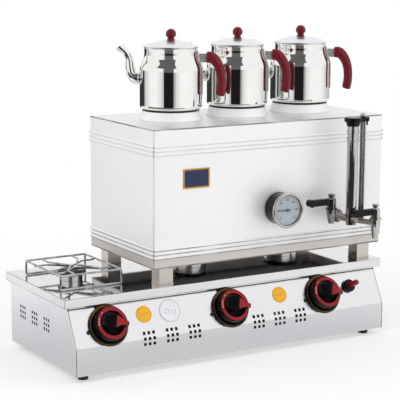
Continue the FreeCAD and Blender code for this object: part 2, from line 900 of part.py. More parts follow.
# Knob bezels: a stepped black disc with a bright rim and two fixing ears, flat on the panel.
bezels = []
for number_text, place in KNOBS:
    disc = turned(
        "bezel_disc_" + number_text,
        [
            ("spindle_radius + 2", "fit_gap"),
            ("bezel_radius", "fit_gap"),
            ("bezel_radius", "bezel_height - 3"),
            ("bezel_radius - 3", "bezel_height"),
            ("bezel_radius - 5", "bezel_height"),
            ("bezel_radius - 6", "bezel_floor"),
            ("spindle_radius + 2", "bezel_floor"),
        ],
    )
    ears = []
    for index, angle in enumerate((110, 190), start=1):
        ear = rod(
            f"bezel_ear_{number_text}_{index}",
            "5",
            "5",
            (f"(bezel_radius + 1) * cos({angle})", f"(bezel_radius + 1) * sin({angle})", "fit_gap"),
        )
        ears.append(ear)
    bezel = fuse("bezel_" + number_text, disc, *ears)
    bezels.append(on_panel(bezel, place, "control_share"))
keep(group("bezel_group", *bezels), "knob_bezels")

# Valve plug, spindle and knob: the plug turns in its valve, the spindle slides in the plug.
for number_text, place in KNOBS:
    plug = turned(
        "plug_body_" + number_text,
        [
            ("spindle_radius + run_gap", "-sheet_metal - 3"),
            ("plug_radius", "-sheet_metal - 3"),
            ("plug_radius", "-sheet_metal - 3 - plug_length"),
            ("0", "-sheet_metal - 3 - plug_length"),
            ("0", "-sheet_metal - plug_length"),
            ("spindle_radius + run_gap", "-sheet_metal - plug_length"),
        ],
    )
    keep(on_panel(plug, place, "control_share"), "valve_plug_" + number_text)

    stem = rod(
        "stem_" + number_text,
        "spindle_radius",
        "plug_length - push_travel - 2 + spindle_tip + sheet_metal",
        ("0", "0", "-sheet_metal - plug_length + push_travel + 2"),
    )
    flat = box(
        "stem_flat_" + number_text,
        ("spindle_radius - 1.2", "-spindle_radius", "bezel_height"),
        ("4", "2 * spindle_radius", "spindle_tip"),
    )
    spindle = cut("spindle_cut_" + number_text, stem, flat)
    keep(on_panel(spindle, place, "control_share"), "spindle_" + number_text)

    skirt = turned(
        "knob_skirt_" + number_text,
        [
            ("0", "knob_start"),
            ("knob_foot_radius", "knob_start"),
            ("knob_radius", "knob_face - 1"),
            ("knob_radius - 1", "knob_face"),
            ("knob_hollow_radius", "knob_face"),
            ("knob_hollow_radius - 3", "knob_face - knob_hollow_depth"),
            ("0", "knob_face - knob_hollow_depth"),
        ],
    )
    grip_base = "knob_face - knob_hollow_depth - 1"
    grip = padded(
        "knob_grip_" + number_text,
        "XZ_Plane",
        [
            ("-grip_tail + 12", grip_base),
            ("grip_point - 8", grip_base),
            ("grip_point", "knob_face + 1"),
            ("grip_point", "grip_top - 4"),
            ("grip_point - 5", "grip_top"),
            ("-grip_tail + 20", "grip_top - 2"),
            ("-grip_tail + 9", "knob_face - 1"),
        ],
        "grip_width",
        centred=True,
    )
    body = fuse("knob_solid_" + number_text, skirt, grip)
    socket = rod(
        "knob_socket_" + number_text,
        "spindle_radius + run_gap",
        "spindle_tip + fit_gap - knob_start + 1",
        ("0", "0", "knob_start - 1"),
    )
    knob = cut("knob_cut_" + number_text, body, socket)
    knob.Placement = Placement(Vector(), Rotation(Vector(0, 0, 1), 10))
    bind(knob, turn="knob_rest")
    keep(on_panel(group("knob_at_rest_" + number_text, knob), place, "control_share"), "knob_" + number_text)

# Igniter: a collar on the panel, a barrel through it with a nut behind, and a long push button.
collar = turned(
    "igniter_collar_body",
    [
        ("button_radius + run_gap", "igniter_collar"),
        ("button_radius + run_gap", "-igniter_depth + 4"),
        ("0", "-igniter_depth + 4"),
        ("0", "-igniter_depth"),
        ("igniter_barrel", "-igniter_depth"),
        ("igniter_barrel", "fit_gap"),
        ("igniter_radius", "fit_gap"),
        ("igniter_radius", "igniter_collar - 5"),
        ("igniter_radius - 4", "igniter_collar"),
    ],
)
nut_low = "-sheet_metal - fit_gap - 5"
nut = rod("igniter_nut_blank", "igniter_barrel + 5", "5", ("0", "0", nut_low))
nut_bore = rod("igniter_nut_bore", "igniter_barrel + run_gap", "7", ("0", "0", f"{nut_low} - 1"))
igniter = group("igniter_group", collar, cut("igniter_nut", nut, nut_bore))
keep(on_panel(igniter, "igniter_place", "igniter_share"), "igniter_body")
button = turned(
    "igniter_button_body",
    [
        ("0", "-igniter_depth + 5 + button_travel"),
        ("button_radius", "-igniter_depth + 5 + button_travel"),
        ("button_radius", "button_tip - 2"),
        ("button_radius - 2", "button_tip"),
        ("0", "button_tip"),
    ],
)
keep(on_panel(button, "igniter_place", "igniter_share"), "igniter_button")

# Plain discs stuck on the panel: two yellow ones and a larger clear one.
discs = []
for label, place, radius in (
    ("left", "disc_left", "disc_radius"),
    ("right", "disc_right", "disc_radius"),
    ("clear", "clear_disc_place", "clear_disc_radius"),
):
    disc = rod("disc_" + label, radius, "disc_thickness", ("0", "0", "0"))
    discs.append(on_panel(disc, place, "disc_share", "fit_gap / 3"))
keep(group("disc_group", *discs), "panel_discs")

# Tank shell: four walls from one sheet with pressed beads round the top and the bottom.
shell_stock = box(
    "shell_stock",
    ("tank_left", "tank_front", "tank_low"),
    ("tank_width", "tank_depth", "tank_height - tank_sheet - fit_gap"),
)
upright = doc.addObject("Part::Fillet", "shell_rounded")
upright.Base = shell_stock
doc.recompute()
corner_edges = []
for index, edge in enumerate(shell_stock.Shape.Edges, start=1):
    ends = [vertex.Point for vertex in edge.Vertexes]
    if abs(ends[0].z - ends[1].z) > 1:
        corner_edges.append((index, number("tank_corner"), number("tank_corner")))
upright.Edges = corner_edges
beads = []
for level, base in (
    ("low", "tank_low + skirt_height"), ("high", "tank_top_z - bead_drop - 2 * bead_pitch")
):
    for index in range(3):
        bead = doc.addObject("Part::Chamfer", f"bead_{level}_{index}")
        blank = box(
            f"bead_blank_{level}_{index}",
            (
                "tank_left - bead_height",
                "tank_front - bead_height",
                f"{base} + {index} * bead_pitch - bead_width / 2",
            ),
            ("tank_width + 2 * bead_height", "tank_depth + 2 * bead_height", "bead_width"),
        )
        bead.Base = blank
        doc.recompute()
        slope = min(number("bead_height"), number("bead_width") / 2 - 0.4)
        bead.Edges = [
            (number_of, slope, slope)
            for number_of, edge in enumerate(blank.Shape.Edges, start=1)
            if abs(edge.Vertexes[0].Point.z - edge.Vertexes[1].Point.z) < 0.1
        ]
        beads.append(bead)
shell_solid = fuse("shell_solid", upright, *beads)
shell_room = box(
    "shell_room",
    ("tank_left + tank_sheet", "tank_front + tank_sheet", "tank_low - 1"),
    ("tank_width - 2 * tank_sheet", "tank_depth - 2 * tank_sheet", "tank_height + 2"),
)
stem_hole = rod(
    "stem_hole",
    "stem_radius + fit_gap",
    "20",
    ("gauge_place", "tank_front - 10", "gauge_z"),
    "back",
)
outlet_hole = rod(
    "outlet_hole",
    "outlet_radius + fit_gap",
    "20",
    ("hub_place", "tank_front - 10", "hub_z"),
    "back",
)
keep(cut("shell_open", shell_solid, shell_room, stem_hole, outlet_hole), "tank_shell")

# Tank floor: a flat sheet inside the skirt, above the flames.
keep(
    box(
        "tank_floor_sheet",
        ("tank_left + tank_sheet + fit_gap", "tank_front + tank_sheet + fit_gap", "tank_floor"),
        (
            "tank_width - 2 * tank_sheet - 2 * fit_gap",
            "tank_depth - 2 * tank_sheet - 2 * fit_gap",
            "sheet_metal",
        ),
    ),
    "tank_bottom",
)

# Tank top: a sheet that closes the shell, with a skirt inside it and a hole under each teapot.
top_plate = box(
    "top_plate",
    ("tank_left", "tank_front", "tank_top_z - tank_sheet"),
    ("tank_width", "tank_depth", "tank_sheet"),
)
skirt_outer = box(
    "top_skirt_outer",
    (
        "tank_left + tank_sheet + fit_gap",
        "tank_front + tank_sheet + fit_gap",
        "tank_top_z - tank_sheet - lid_skirt",
    ),
    (
        "tank_width - 2 * tank_sheet - 2 * fit_gap",
        "tank_depth - 2 * tank_sheet - 2 * fit_gap",
        "lid_skirt + tank_sheet / 2",
    ),
)
skirt_room = box(
    "top_skirt_room",
    (
        "tank_left + 2 * tank_sheet + fit_gap",
        "tank_front + 2 * tank_sheet + fit_gap",
        "tank_top_z - 2 * tank_sheet - lid_skirt",
    ),
    (
        "tank_width - 4 * tank_sheet - 2 * fit_gap",
        "tank_depth - 4 * tank_sheet - 2 * fit_gap",
        "lid_skirt + tank_sheet",
    ),
)
POT_PLACES = [("1", "pot_first"), ("2", "pot_first + pot_pitch"), ("3", "pot_first + 2 * pot_pitch")]
top_holes = []
for number_text, place in POT_PLACES:
    under = (place, "pot_y", "tank_top_z - 2 * tank_sheet")
    top_holes.append(rod("top_hole_" + number_text, "seat_hole_radius + 8", "3 * tank_sheet", under))
top_solid = fuse("tank_top_solid", top_plate, cut("top_skirt", skirt_outer, skirt_room))
keep(cut("tank_top_open", top_solid, *top_holes), "tank_top")

# Teapot seats: raised collars on the tank top, each with a flange round its foot and a steam hole.
seats = []
for number_text, place in POT_PLACES:
    seat = turned(
        "seat_" + number_text,
        [
            ("seat_foot_radius - tank_sheet", "0"),
            ("seat_foot_radius + seat_flange", "0"),
            ("seat_foot_radius + seat_flange", "tank_sheet"),
            ("seat_foot_radius", "tank_sheet"),
            ("seat_top_radius", "seat_height"),
            ("seat_hole_radius", "seat_height"),
            ("seat_hole_radius", "seat_height - tank_sheet"),
            ("seat_top_radius - tank_sheet", "seat_height - tank_sheet"),
        ],
        at=(place, "pot_y", "tank_top_z + fit_gap"),
    )
    seats.append(seat)
keep(group("seat_group", *seats), "teapot_seats")

# Legs: square tubes with a foot plate, set in from the tank's corners, and a clamping screw in each.
legs = []
screws = []
for i in (0, 1):
    for j in (0, 1):
        tag = f"{i}{j}"
        x = f"tank_left + leg_inset_x + {i} * (tank_width - 2 * leg_inset_x - leg_side)"
        y = f"tank_front + leg_inset_y + {j} * (tank_depth - 2 * leg_inset_y - leg_side)"
        tube = box(
            "leg_tube_" + tag,
            (x, y, "worktop_top + fit_gap"),
            ("leg_side", "leg_side", "leg_height"),
        )
        room = box(
            "leg_room_" + tag,
            (f"{x} + leg_wall", f"{y} + leg_wall", "worktop_top + fit_gap + leg_plate"),
            ("leg_side - 2 * leg_wall", "leg_side - 2 * leg_wall", "leg_height"),
        )
        plate = box(
            "leg_plate_" + tag,
            (f"{x} - 1", f"{y} - 1", "worktop_top + fit_gap"),
            ("leg_side + 2", "leg_side + 2", "leg_plate"),
        )
        middle_y = f"{y} + leg_side / 2"
        inner_x = f"{x} + {1 - i} * leg_side"
        direction = 1 - 2 * i
        bore = rod(
            "leg_bore_" + tag,
            "leg_screw_radius - 1 + fit_gap",
            "20",
            (f"{inner_x} - 10", middle_y, "worktop_top + leg_screw_height"),
            "right",
        )
        legs.append(cut("leg_" + tag, fuse("leg_solid_" + tag, tube, plate), room, bore))
        head_x = f"{inner_x} + {direction} * fit_gap - {i} * 5"
        shank_x = f"{inner_x} - {1 - i} * 8"
        head = rod(
            "screw_head_" + tag,
            "leg_screw_radius",
            "5",
            (head_x, middle_y, "worktop_top + leg_screw_height"),
            "right",
        )
        shank = rod(
            "screw_shank_" + tag,
            "leg_screw_radius - 1",
            "9",
            (f"{shank_x} - {i}", middle_y, "worktop_top + leg_screw_height"),
            "right",
        )
        screws.append(fuse("screw_" + tag, head, shank))
keep(group("leg_group", *legs), "tank_legs")
keep(group("screw_group", *screws), "leg_screws")

# Nameplate: a plain thin plate on the tank's front.
keep(
    box(
        "plate_blank",
        ("plate_left", "tank_front - plate_thickness - fit_gap / 3", "tank_low + plate_low"),
        ("plate_width", "plate_thickness", "plate_height"),
    ),
    "nameplate",
)

# Thermometer: a round case with a rolled bezel, its stem reaching into the tank.
case = turned(
    "gauge_case",
    [
        ("0", "-stem_length - gauge_stand"),
        ("stem_radius", "-stem_length - gauge_stand"),
        ("stem_radius", "-gauge_stand + fit_gap"),
        ("stem_radius + 5", "-gauge_stand + fit_gap"),
        ("stem_radius + 5", "0"),
        ("gauge_case_radius", "0"),
        ("gauge_case_radius", "gauge_depth - gauge_bezel"),
        ("gauge_radius", "gauge_depth - gauge_bezel"),
        ("gauge_radius", "gauge_depth - 2"),
        ("gauge_radius - 2", "gauge_depth"),
        ("dial_radius", "gauge_depth"),
        ("dial_radius", "gauge_depth - 1"),
        ("dial_radius + fit_gap", "gauge_depth - 1"),
        ("dial_radius + fit_gap", "gauge_depth - dial_inset - sheet_metal - fit_gap"),
        ("0", "gauge_depth - dial_inset - sheet_metal - fit_gap"),
    ],
    "front",
    ("gauge_place", "gauge_back", "gauge_z"),
)
keep(case, "thermometer_case")
dial_y = "gauge_back - gauge_depth + dial_inset + sheet_metal"
dial_blank = rod("dial_blank", "dial_radius", "sheet_metal", ("gauge_place", dial_y, "gauge_z"), "front")
pivot = rod(
    "dial_pivot",
    "1.5",
    "3.4",
    ("gauge_place", "gauge_back - gauge_depth + dial_inset + fit_gap", "gauge_z"),
    "front",
)
keep(fuse("dial_with_pivot", dial_blank, pivot), "thermometer_dial")
hand = padded(
    "needle_hand",
    "XZ_Plane",
    [
        ("gauge_place - needle_length", "gauge_z - 0.4"),
        ("gauge_place", "gauge_z - 1.8"),
        ("gauge_place + needle_tail", "gauge_z - 1.2"),
        ("gauge_place + needle_tail", "gauge_z + 1.2"),
        ("gauge_place", "gauge_z + 1.8"),
        ("gauge_place - needle_length", "gauge_z + 0.4"),
    ],
    "0.6",
)
bind(hand, y="gauge_back - gauge_depth + dial_inset - 1.2")
hub_disc = rod(
    "needle_hub",
    "4",
    "1.6",
    ("gauge_place", "gauge_back - gauge_depth + dial_inset - 1", "gauge_z"),
    "front",
)
needle_bore = rod(
    "needle_bore",
    "1.5 + run_gap",
    "20",
    ("gauge_place", "gauge_back - gauge_depth + dial_inset + 8", "gauge_z"),
    "front",
)
keep(cut("needle_bored", fuse("needle_solid", hand, hub_disc), needle_bore), "thermometer_needle")
keep(
    rod(
        "gauge_glass",
        "dial_radius",
        "glass_thickness",
        ("gauge_place", "gauge_back - gauge_depth + 1 + fit_gap + glass_thickness", "gauge_z"),
        "front",
    ),
    "thermometer_glass",
)


# Tap set. The manifold leaves the tank, turns into a hub and carries an arm to each tap.
def arm(label, reach, rise, turn):
    """A round arm from the hub's middle to a tap's axis."""
    item = doc.addObject("Part::Cylinder", "arm_" + label)
    bind(item, Radius="arm_radius", Height=f"sqrt(({reach}) ^ 2 + ({rise}) ^ 2)")
    length = math.hypot(number(reach), number(rise))
    heading = Vector(
        number(reach) / length * math.cos(math.radians(number(turn))),
        number(reach) / length * math.sin(math.radians(number(turn))),
        number(rise) / length,
    )
    item.Placement = Placement(
        Vector(number("hub_place"), number("hub_y"), number("hub_z")), Rotation(Vector(0, 0, 1), heading)
    )
    return item


TAPS = (
    ("left", "left_arm", "left_rise", "180 - arm_turn", "left_nozzle"),
    ("right", "right_arm", "right_rise", "-arm_turn", "right_nozzle"),
)


def tap_place(reach, rise, turn):
    """Middle of the tap's collar top."""
    return (
        f"hub_place + {reach} * cos({turn})",
        f"hub_y + {reach} * sin({turn})",
        f"hub_z + {rise} + arm_drop",
    )


def tap_outline(nozzle):
    return [
        ("tap_tip_radius", f"-{nozzle}"),
        ("tap_body_radius - 1", f"-{nozzle} * 0.45"),
        ("tap_body_radius", "-tap_collar - 1"),
        ("tap_collar_radius", "-tap_collar"),
        ("tap_collar_radius", "0"),
    ]


arms = []
blanks = []
for label, reach, rise, turn, nozzle in TAPS:
    arms.append(arm(label, reach, rise, turn))
    solid_tap = [("0", f"-{nozzle}")] + tap_outline(nozzle) + [("0", "0")]
    blanks.append(turned("tap_blank_" + label, solid_tap, at=tap_place(reach, rise, turn)))
outlet = rod("outlet_pipe", "outlet_radius", "hub_stand + 14", ("hub_place", "hub_y", "hub_z"), "back")
outlet_nut = rod(
    "outlet_nut",
    "outlet_nut_radius",
    "outlet_nut_length",
    ("hub_place", "tank_front - outlet_nut_length - fit_gap", "hub_z"),
    "back",
)
hub = rod("hub_barrel", "hub_radius", "2 * hub_radius", ("hub_place", "hub_y", "hub_z - hub_radius"))
hub_nut = taper(
    "hub_nut_body",
    "hub_nut_radius + 1",
    "hub_nut_radius - 2",
    "hub_nut_length",
    ("hub_place", "hub_y - hub_radius + 1", "hub_z"),
    "front",
)
sight_arm = rod(
    "sight_arm",
    "arm_radius - 1.5",
    "sight_offset",
    ("hub_place", "hub_y", "sight_low + 2"),
    "right",
)
sight_cup = rod("sight_cup", "cup_radius", "cup_height", ("sight_x", "hub_y", "sight_low - 4"))
glass_seat = rod(
    "glass_seat",
    "sight_radius + fit_gap",
    "cup_height",
    ("sight_x", "hub_y", "sight_low + 4"),
)
outlet_bore = rod(
    "outlet_bore",
    "outlet_radius - 3",
    "hub_stand + 40",
    ("hub_place", "hub_y", "hub_z"),
    "back",
)
rise_bore = rod("rise_bore", "hub_radius - 5", "hub_radius + 5", ("hub_place", "hub_y", "hub_z"))
manifold_solid = fuse("manifold_solid", outlet, outlet_nut, hub, hub_nut, sight_arm, sight_cup, *arms)
keep(cut("manifold_bored", manifold_solid, glass_seat, outlet_bore, rise_bore, *blanks), "tap_manifold")

# Taps: a hollow nozzle below a collar, and a key that turns in it and carries the lever.
for label, reach, rise, turn, nozzle in TAPS:
    place = tap_place(reach, rise, turn)
    hollow = [
        ("key_plug_radius + run_gap", "0"),
        ("key_plug_radius + run_gap", "-key_plug_length - fit_gap"),
        ("tap_bore", "-key_plug_length - fit_gap"),
        ("tap_bore", f"-{nozzle}"),
    ]
    keep(turned("tap_shell_" + label, tap_outline(nozzle) + hollow, at=place), "tap_body_" + label)
    key = turned(
        "key_turned_" + label,
        [
            ("0", "-key_plug_length"),
            ("key_plug_radius", "-key_plug_length"),
            ("key_plug_radius", "fit_gap"),
            ("key_radius", "fit_gap"),
            ("key_radius", "key_height - 2"),
            ("key_radius - 2", "key_height"),
            ("key_neck_radius", "key_height"),
            ("key_neck_radius", "key_height + key_neck"),
            ("key_button_radius", "key_height + key_neck + 1"),
            ("key_button_radius", "key_height + key_neck + key_button - 2"),
            ("key_button_radius - 3", "key_height + key_neck + key_button"),
            ("0", "key_height + key_neck + key_button"),
        ],
        at=place,
    )
    keep(key, "tap_key_" + label)
    x, y, z = place
    bar = box(
        "lever_bar_" + label,
        (f"{x} - lever_length", f"{y} - lever_width / 2", f"{z} + lever_place - lever_height / 2"),
        ("lever_length", "lever_width", "lever_height"),
    )
    end = rod(
        "lever_end_" + label,
        "lever_end_radius",
        "lever_end_width",
        (f"{x} - lever_length", f"{y} - lever_end_width / 2", f"{z} + lever_place"),
        "back",
    )
    head = rod(
        "lever_room_" + label,
        "key_radius + fit_gap / 3",
        "2 * key_height",
        (x, y, f"{z} - key_height / 2"),
    )
    keep(cut("lever_" + label, fuse("lever_solid_" + label, bar, end), head), "tap_lever_" + label)

# Filter canister: a bright tube on the hub, knurled and threaded at the top, with a black screw cap.
canister = turned(
    "canister_body",
    [
        ("canister_radius", "0"),
        ("canister_radius", "canister_length - canister_head"),
        ("canister_ring_radius", "canister_length - canister_head + 1.5"),
        ("canister_ring_radius", "canister_length - canister_head + 6"),
        ("canister_radius", "canister_length - canister_head + 7.5"),
        ("canister_radius", "canister_length - 16"),
        ("canister_ring_radius", "canister_length - 14.5"),
        ("canister_ring_radius", "canister_length - 10"),
        ("canister_radius", "canister_length - 8.5"),
        ("canister_radius", "canister_length"),
        ("canister_radius - canister_wall", "canister_length"),
        ("canister_radius - canister_wall", "3"),
        ("hub_radius - 5", "3"),
        ("hub_radius - 5", "0"),
    ],
    at=("hub_place", "hub_y", "canister_low"),
)
keep(canister, "filter_canister")
cap = turned(
    "cap_body",
    [
        ("0", "-cap_plug"),
        ("canister_radius - canister_wall - fit_gap", "-cap_plug"),
        ("canister_radius - canister_wall - fit_gap", "fit_gap"),
        ("canister_radius + 1.5", "fit_gap"),
        ("cap_flange_radius - 3.5", "cap_cone"),
        ("cap_flange_radius", "cap_cone + 0.5"),
        ("cap_flange_radius", "cap_cone + cap_flange - 1.5"),
        ("cap_flange_radius - 1.5", "cap_cone + cap_flange"),
        ("0", "cap_cone + cap_flange"),
    ],
    at=("hub_place", "hub_y", "canister_high"),
)
keep(cap, "canister_cap")

# Sight tube: a glass tube beside the canister, in a half-round guard, with a bracket and a finial.
glass_stock = rod(
    "sight_glass_stock",
    "sight_radius",
    "sight_length",
    ("sight_x", "hub_y", "sight_low + 4 + fit_gap"),
)
glass_bore = rod(
    "sight_glass_bore",
    "sight_bore",
    "sight_length + 2",
    ("sight_x", "hub_y", "sight_low + 3"),
)
keep(cut("sight_glass", glass_stock, glass_bore), "sight_tube")
guard_low = "sight_low - 4 + cup_height + fit_gap"
bracket_low = "canister_high + cap_cone"
guard_stock = rod(
    "guard_stock",
    "guard_radius",
    f"{bracket_low} - fit_gap - ({guard_low})",
    ("sight_x", "hub_y", guard_low),
)
guard_room = rod(
    "guard_room",
    "guard_radius - guard_wall",
    "sight_length + 40",
    ("sight_x", "hub_y", f"{guard_low} - 10"),
)
guard_slot = box(
    "guard_slot",
    ("sight_x - guard_radius - 1", "hub_y - guard_radius - 1", f"{guard_low} - 10"),
    ("guard_radius + 2", "guard_radius + 2", "sight_length + 40"),
)
guard = cut("guard_half", guard_stock, guard_room, guard_slot)
finial_low = f"{bracket_low} + bracket_height + fit_gap"
finial = turned(
    "finial_body",
    [
        ("sight_radius + fit_gap", "0"),
        ("finial_radius - 1.5", "0"),
        ("finial_radius", "2"),
        ("finial_radius", "finial_height - 3"),
        ("finial_radius - 3", "finial_height"),
        ("0", "finial_height"),
        ("0", "finial_height - 3"),
        ("sight_radius + fit_gap", "finial_height - 3"),
    ],
    at=("sight_x", "hub_y", finial_low),
)
keep(group("sight_metal", guard, finial), "sight_guard")
bracket_x = "hub_place + cap_flange_radius + 2 * fit_gap"
bracket_stock = box(
    "bracket_stock",
    (bracket_x, "hub_y - 8", bracket_low),
    ("sight_offset - cap_flange_radius + bracket_reach", "16", "bracket_height"),
)
hook_x = "sight_x + bracket_reach - 3"
hook = box("bracket_hook", (hook_x, "hub_y - 5", f"{bracket_low} - 9"), ("2", "10", "10"))
bracket_hole = rod(
    "bracket_hole",
    "sight_radius + fit_gap / 2",
    "20",
    ("sight_x", "hub_y", f"{bracket_low} - 5"),
)
keep(cut("bracket_bored", fuse("bracket_solid", bracket_stock, hook), bracket_hole), "sight_bracket")


# Teapots. One is modelled about its own axis, handle along X, and set three times on the seats.
def ring_loft(stations, shrink):
    """A tube through circles: each station is (reach, height, radius, lean of its normal)."""
    rings = []
    for reach, height, radius, lean in stations:
        normal = Vector(math.cos(math.radians(lean)), 0, math.sin(math.radians(lean)))
        rings.append(Part.Wire([Part.Circle(Vector(reach, 0, height), normal, radius - shrink).toShape()]))
    return Part.makeLoft(rings, True, False)


def pot_side(grow):
    """The teapot's wall from its lowest part to its neck, set out from the steel's outside by grow."""
    step = "(pot_radius - pot_neck_radius)"
    rise = "(pot_shoulder_high - pot_shoulder_low)"
    return [
        (f"pot_radius + {grow}", "pot_shoulder_low"),
        (f"pot_radius - {step} * 0.16 + {grow}", f"pot_shoulder_low + {rise} * 0.23"),
        (f"pot_neck_radius + {step} * 0.16 + {grow}", f"pot_shoulder_high - {rise} * 0.23"),
        (f"pot_neck_radius + {grow}", "pot_shoulder_high"),
    ]


pot_outer = turned(
    "pot_outer",
    [
        ("0", "0"),
        ("pot_foot_radius", "0"),
        ("pot_foot_radius", "pot_foot_height"),
        ("pot_radius - pot_corner", "pot_foot_height", "pot_corner", "left"),
        ("pot_radius", "pot_foot_height + pot_corner"),
        *pot_side("0"),
        ("pot_neck_radius", "pot_height"),
        ("0", "pot_height"),
    ],
)
pot_inner = turned(
    "pot_inner",
    [
        ("0", "pot_foot_height + pot_wall"),
        ("pot_radius - pot_corner - pot_wall", "pot_foot_height + pot_wall", "pot_corner", "left"),
        ("pot_radius - pot_wall", "pot_foot_height + pot_wall + pot_corner"),
        *pot_side("-pot_wall"),
        ("pot_neck_radius - pot_wall", "pot_height + 5"),
        ("0", "pot_height + 5"),
    ],
)
# The spout stands off the pot by the weld's gap, so all of this is cut from it.
pot_room = turned(
    "pot_room",
    [
        ("0", "pot_corner"),
        ("pot_radius + fit_gap", "pot_corner"),
        *pot_side("fit_gap"),
        ("pot_neck_radius + fit_gap", "pot_height + 5"),
        ("0", "pot_height + 5"),
    ],
)
# Spout stations: how far each stands off the pot's wall, its height as a share of the pot, its radius and lean.
SPOUT = (
    (-8, 0.5, 16, 180),
    (6, 0.51, 15, 172),
    (16.5, 0.555, 12.8, 132),
    (20.5, 0.66, 11, 97),
    (22, 0.77, 9.6, 96),
    (26, 0.865, 8.4, 116),
    (34, 0.945, 8.6, 134),
    (45, 1.01, 11.5, 122),
)
spout_stations = [
    (-number("pot_radius") - off, share * number("pot_height"), radius, lean)
    for off, share, radius, lean in SPOUT
]
last_reach, last_height, last_radius, last_lean = spout_stations[-1]
beyond = (
    last_reach + 4 * math.cos(math.radians(last_lean)),
    last_height + 4 * math.sin(math.radians(last_lean)),
    last_radius + 2,
    last_lean,
)
inside = (-number("pot_radius") + 14, spout_stations[0][1], spout_stations[0][2], 180)
spout_outer = doc.addObject("Part::Feature", "spout_outer")
spout_outer.Shape = ring_loft(spout_stations, 0)
spout_inner = doc.addObject("Part::Feature", "spout_inner")
spout_inner.Shape = ring_loft([inside] + spout_stations + [beyond], number("pot_wall"))

spout = cut("pot_spout", spout_outer, spout_inner, pot_room)
strap_stock = padded(
    "pot_strap",
    "XZ_Plane",
    [
        ("pot_neck_radius - strap_thickness", "strap_high"),
        ("pot_neck_radius - strap_thickness", "strap_low"),
        ("pot_radius + strap_thickness", "strap_low"),
        *pot_side("strap_thickness"),
        ("pot_neck_radius + strap_thickness", "strap_high"),
    ],
    "strap_width",
    centred=True,
)
tang = box(
    "pot_tang",
    ("pot_neck_radius", "-tang_thickness / 2", "tang_low"),
    ("tang_reach - pot_neck_radius", "tang_thickness", "tang_high - tang_low"),
)
strapped = fuse("pot_strapped", pot_outer, strap_stock, tang)
pot_body = cut("pot_body", strapped, pot_inner, spout_inner)
pot = group("pot_whole", pot_body, spout)

# Grip: oval sections along a hooked curve, with a slot for the tang.
GRIP = (
    (9.5, 118.5, 13, 9.2, 0),
    (17, 119, 13.4, 9.8, -4),
    (27.5, 114, 12.8, 10, -38),
    (36, 103, 11.6, 10, -62),
    (41.5, 88, 10.8, 10, -76),
    (44, 70, 10.4, 9.8, -87),
    (43.3, 52, 10.4, 9.8, -95),
    (41, 39.5, 10.8, 9.8, -104),
    (39.5, 32, 8, 7.5, -104),
)


def oval(centre, across, thick, wide):
    """A closed curve through points round an oval, standing square to the grip's run."""
    points = []
    for step in range(12):
        angle = 2 * math.pi * step / 12
        points.append(centre + across * thick * math.cos(angle) + Vector(0, wide, 0) * math.sin(angle))
    curve = Part.BSplineCurve()
    curve.interpolate(points, PeriodicFlag=True)
    return Part.Wire([curve.toShape()])


def grip_shape():
    rings = []
    for off, height, thick, wide, lean in GRIP:
        angle = math.radians(lean)
        centre = Vector(number("pot_radius") + off, 0, height / 141 * number("pot_height"))
        rings.append(oval(centre, Vector(-math.sin(angle), 0, math.cos(angle)), thick, wide))
    return Part.makeLoft(rings, True, False)


grip_solid = doc.addObject("Part::Feature", "grip_solid")
grip_solid.Shape = grip_shape()
tang_slot = box(
    "tang_slot",
    ("pot_radius", "-tang_thickness / 2 - fit_gap / 2", "tang_low - fit_gap / 2"),
    ("tang_reach + fit_gap - pot_radius", "tang_thickness + fit_gap", "tang_high - tang_low + fit_gap"),
)
pot_grip = cut("grip_slotted", grip_solid, tang_slot)

# Lid: a domed sheet with a rolled rim and a ring that drops into the neck, and a ball to lift it by.
dome_radius = "((lid_radius ^ 2 + dome_height ^ 2) / (2 * dome_height))"
ring_outside = "pot_neck_radius - pot_wall - 1.2"
ring_inside = f"({ring_outside} - pot_wall)"
ring_top = f"lid_rim + dome_height - {dome_radius} + sqrt(({dome_radius} - pot_wall) ^ 2 - {ring_inside} ^ 2)"
pot_lid = turned(
    "lid_body",
    [
        ("lid_radius", "fit_gap"),
        ("lid_radius", "lid_rim", dome_radius, "left"),
        ("0", "lid_rim + dome_height"),
        ("0", "lid_rim + dome_height - pot_wall", f"{dome_radius} - pot_wall", "right"),
        (ring_inside, ring_top),
        (ring_inside, "-lid_ring_depth"),
        (ring_outside, "-lid_ring_depth"),
        (ring_outside, "fit_gap"),
    ],
)
ball_low = "lid_rim + dome_height + fit_gap"
ball_foot = turned(
    "ball_foot",
    [
        ("0", "0"),
        ("ball_neck + 3", "0"),
        ("ball_neck", "ball_foot + 1"),
        ("0", "ball_foot + 1"),
    ],
)
ball = doc.addObject("Part::Sphere", "ball")
bind(ball, Radius="ball_radius", z="ball_foot + ball_radius - 1")
lid_ball = fuse("lid_ball", ball_foot, ball)


def on_seat(name, source, place, lift="0"):
    """A copy of a teapot piece on one of the seats, turned to the teapots' common direction."""
    copy = doc.addObject("Part::Compound", name + "_placed")
    copy.Links = [source]
    copy.Placement = Placement(Vector(), Rotation(Vector(0, 0, 1), 10))
    keep(bind(copy, x=place, y="pot_y", z=f"pot_z + {lift}", turn="pot_turn"), name)


for number_text, place in POT_PLACES:
    on_seat("teapot_" + number_text, pot, place)
    on_seat("teapot_grip_" + number_text, pot_grip, place)
    on_seat("teapot_lid_" + number_text, pot_lid, place, "pot_height")
    on_seat("teapot_lid_ball_" + number_text, lid_ball, place, f"pot_height + {ball_low}")

doc.recompute()
faults = [item.Name for item in doc.Objects if {"Invalid", "Error"} & set(item.State)]
faults += [
    item.Label
    for item in NODES if item.Shape.isNull() or not item.Shape.isValid() or not item.Shape.Solids
]
if faults:
    raise RuntimeError("pieces that did not build: " + ", ".join(faults))
for item in NODES:
    item.Shape.exportStep(f"parts/{item.Label}.step")
print(len(NODES), "pieces written")
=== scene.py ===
import json
import math

import bpy
from mathutils import Matrix, Vector


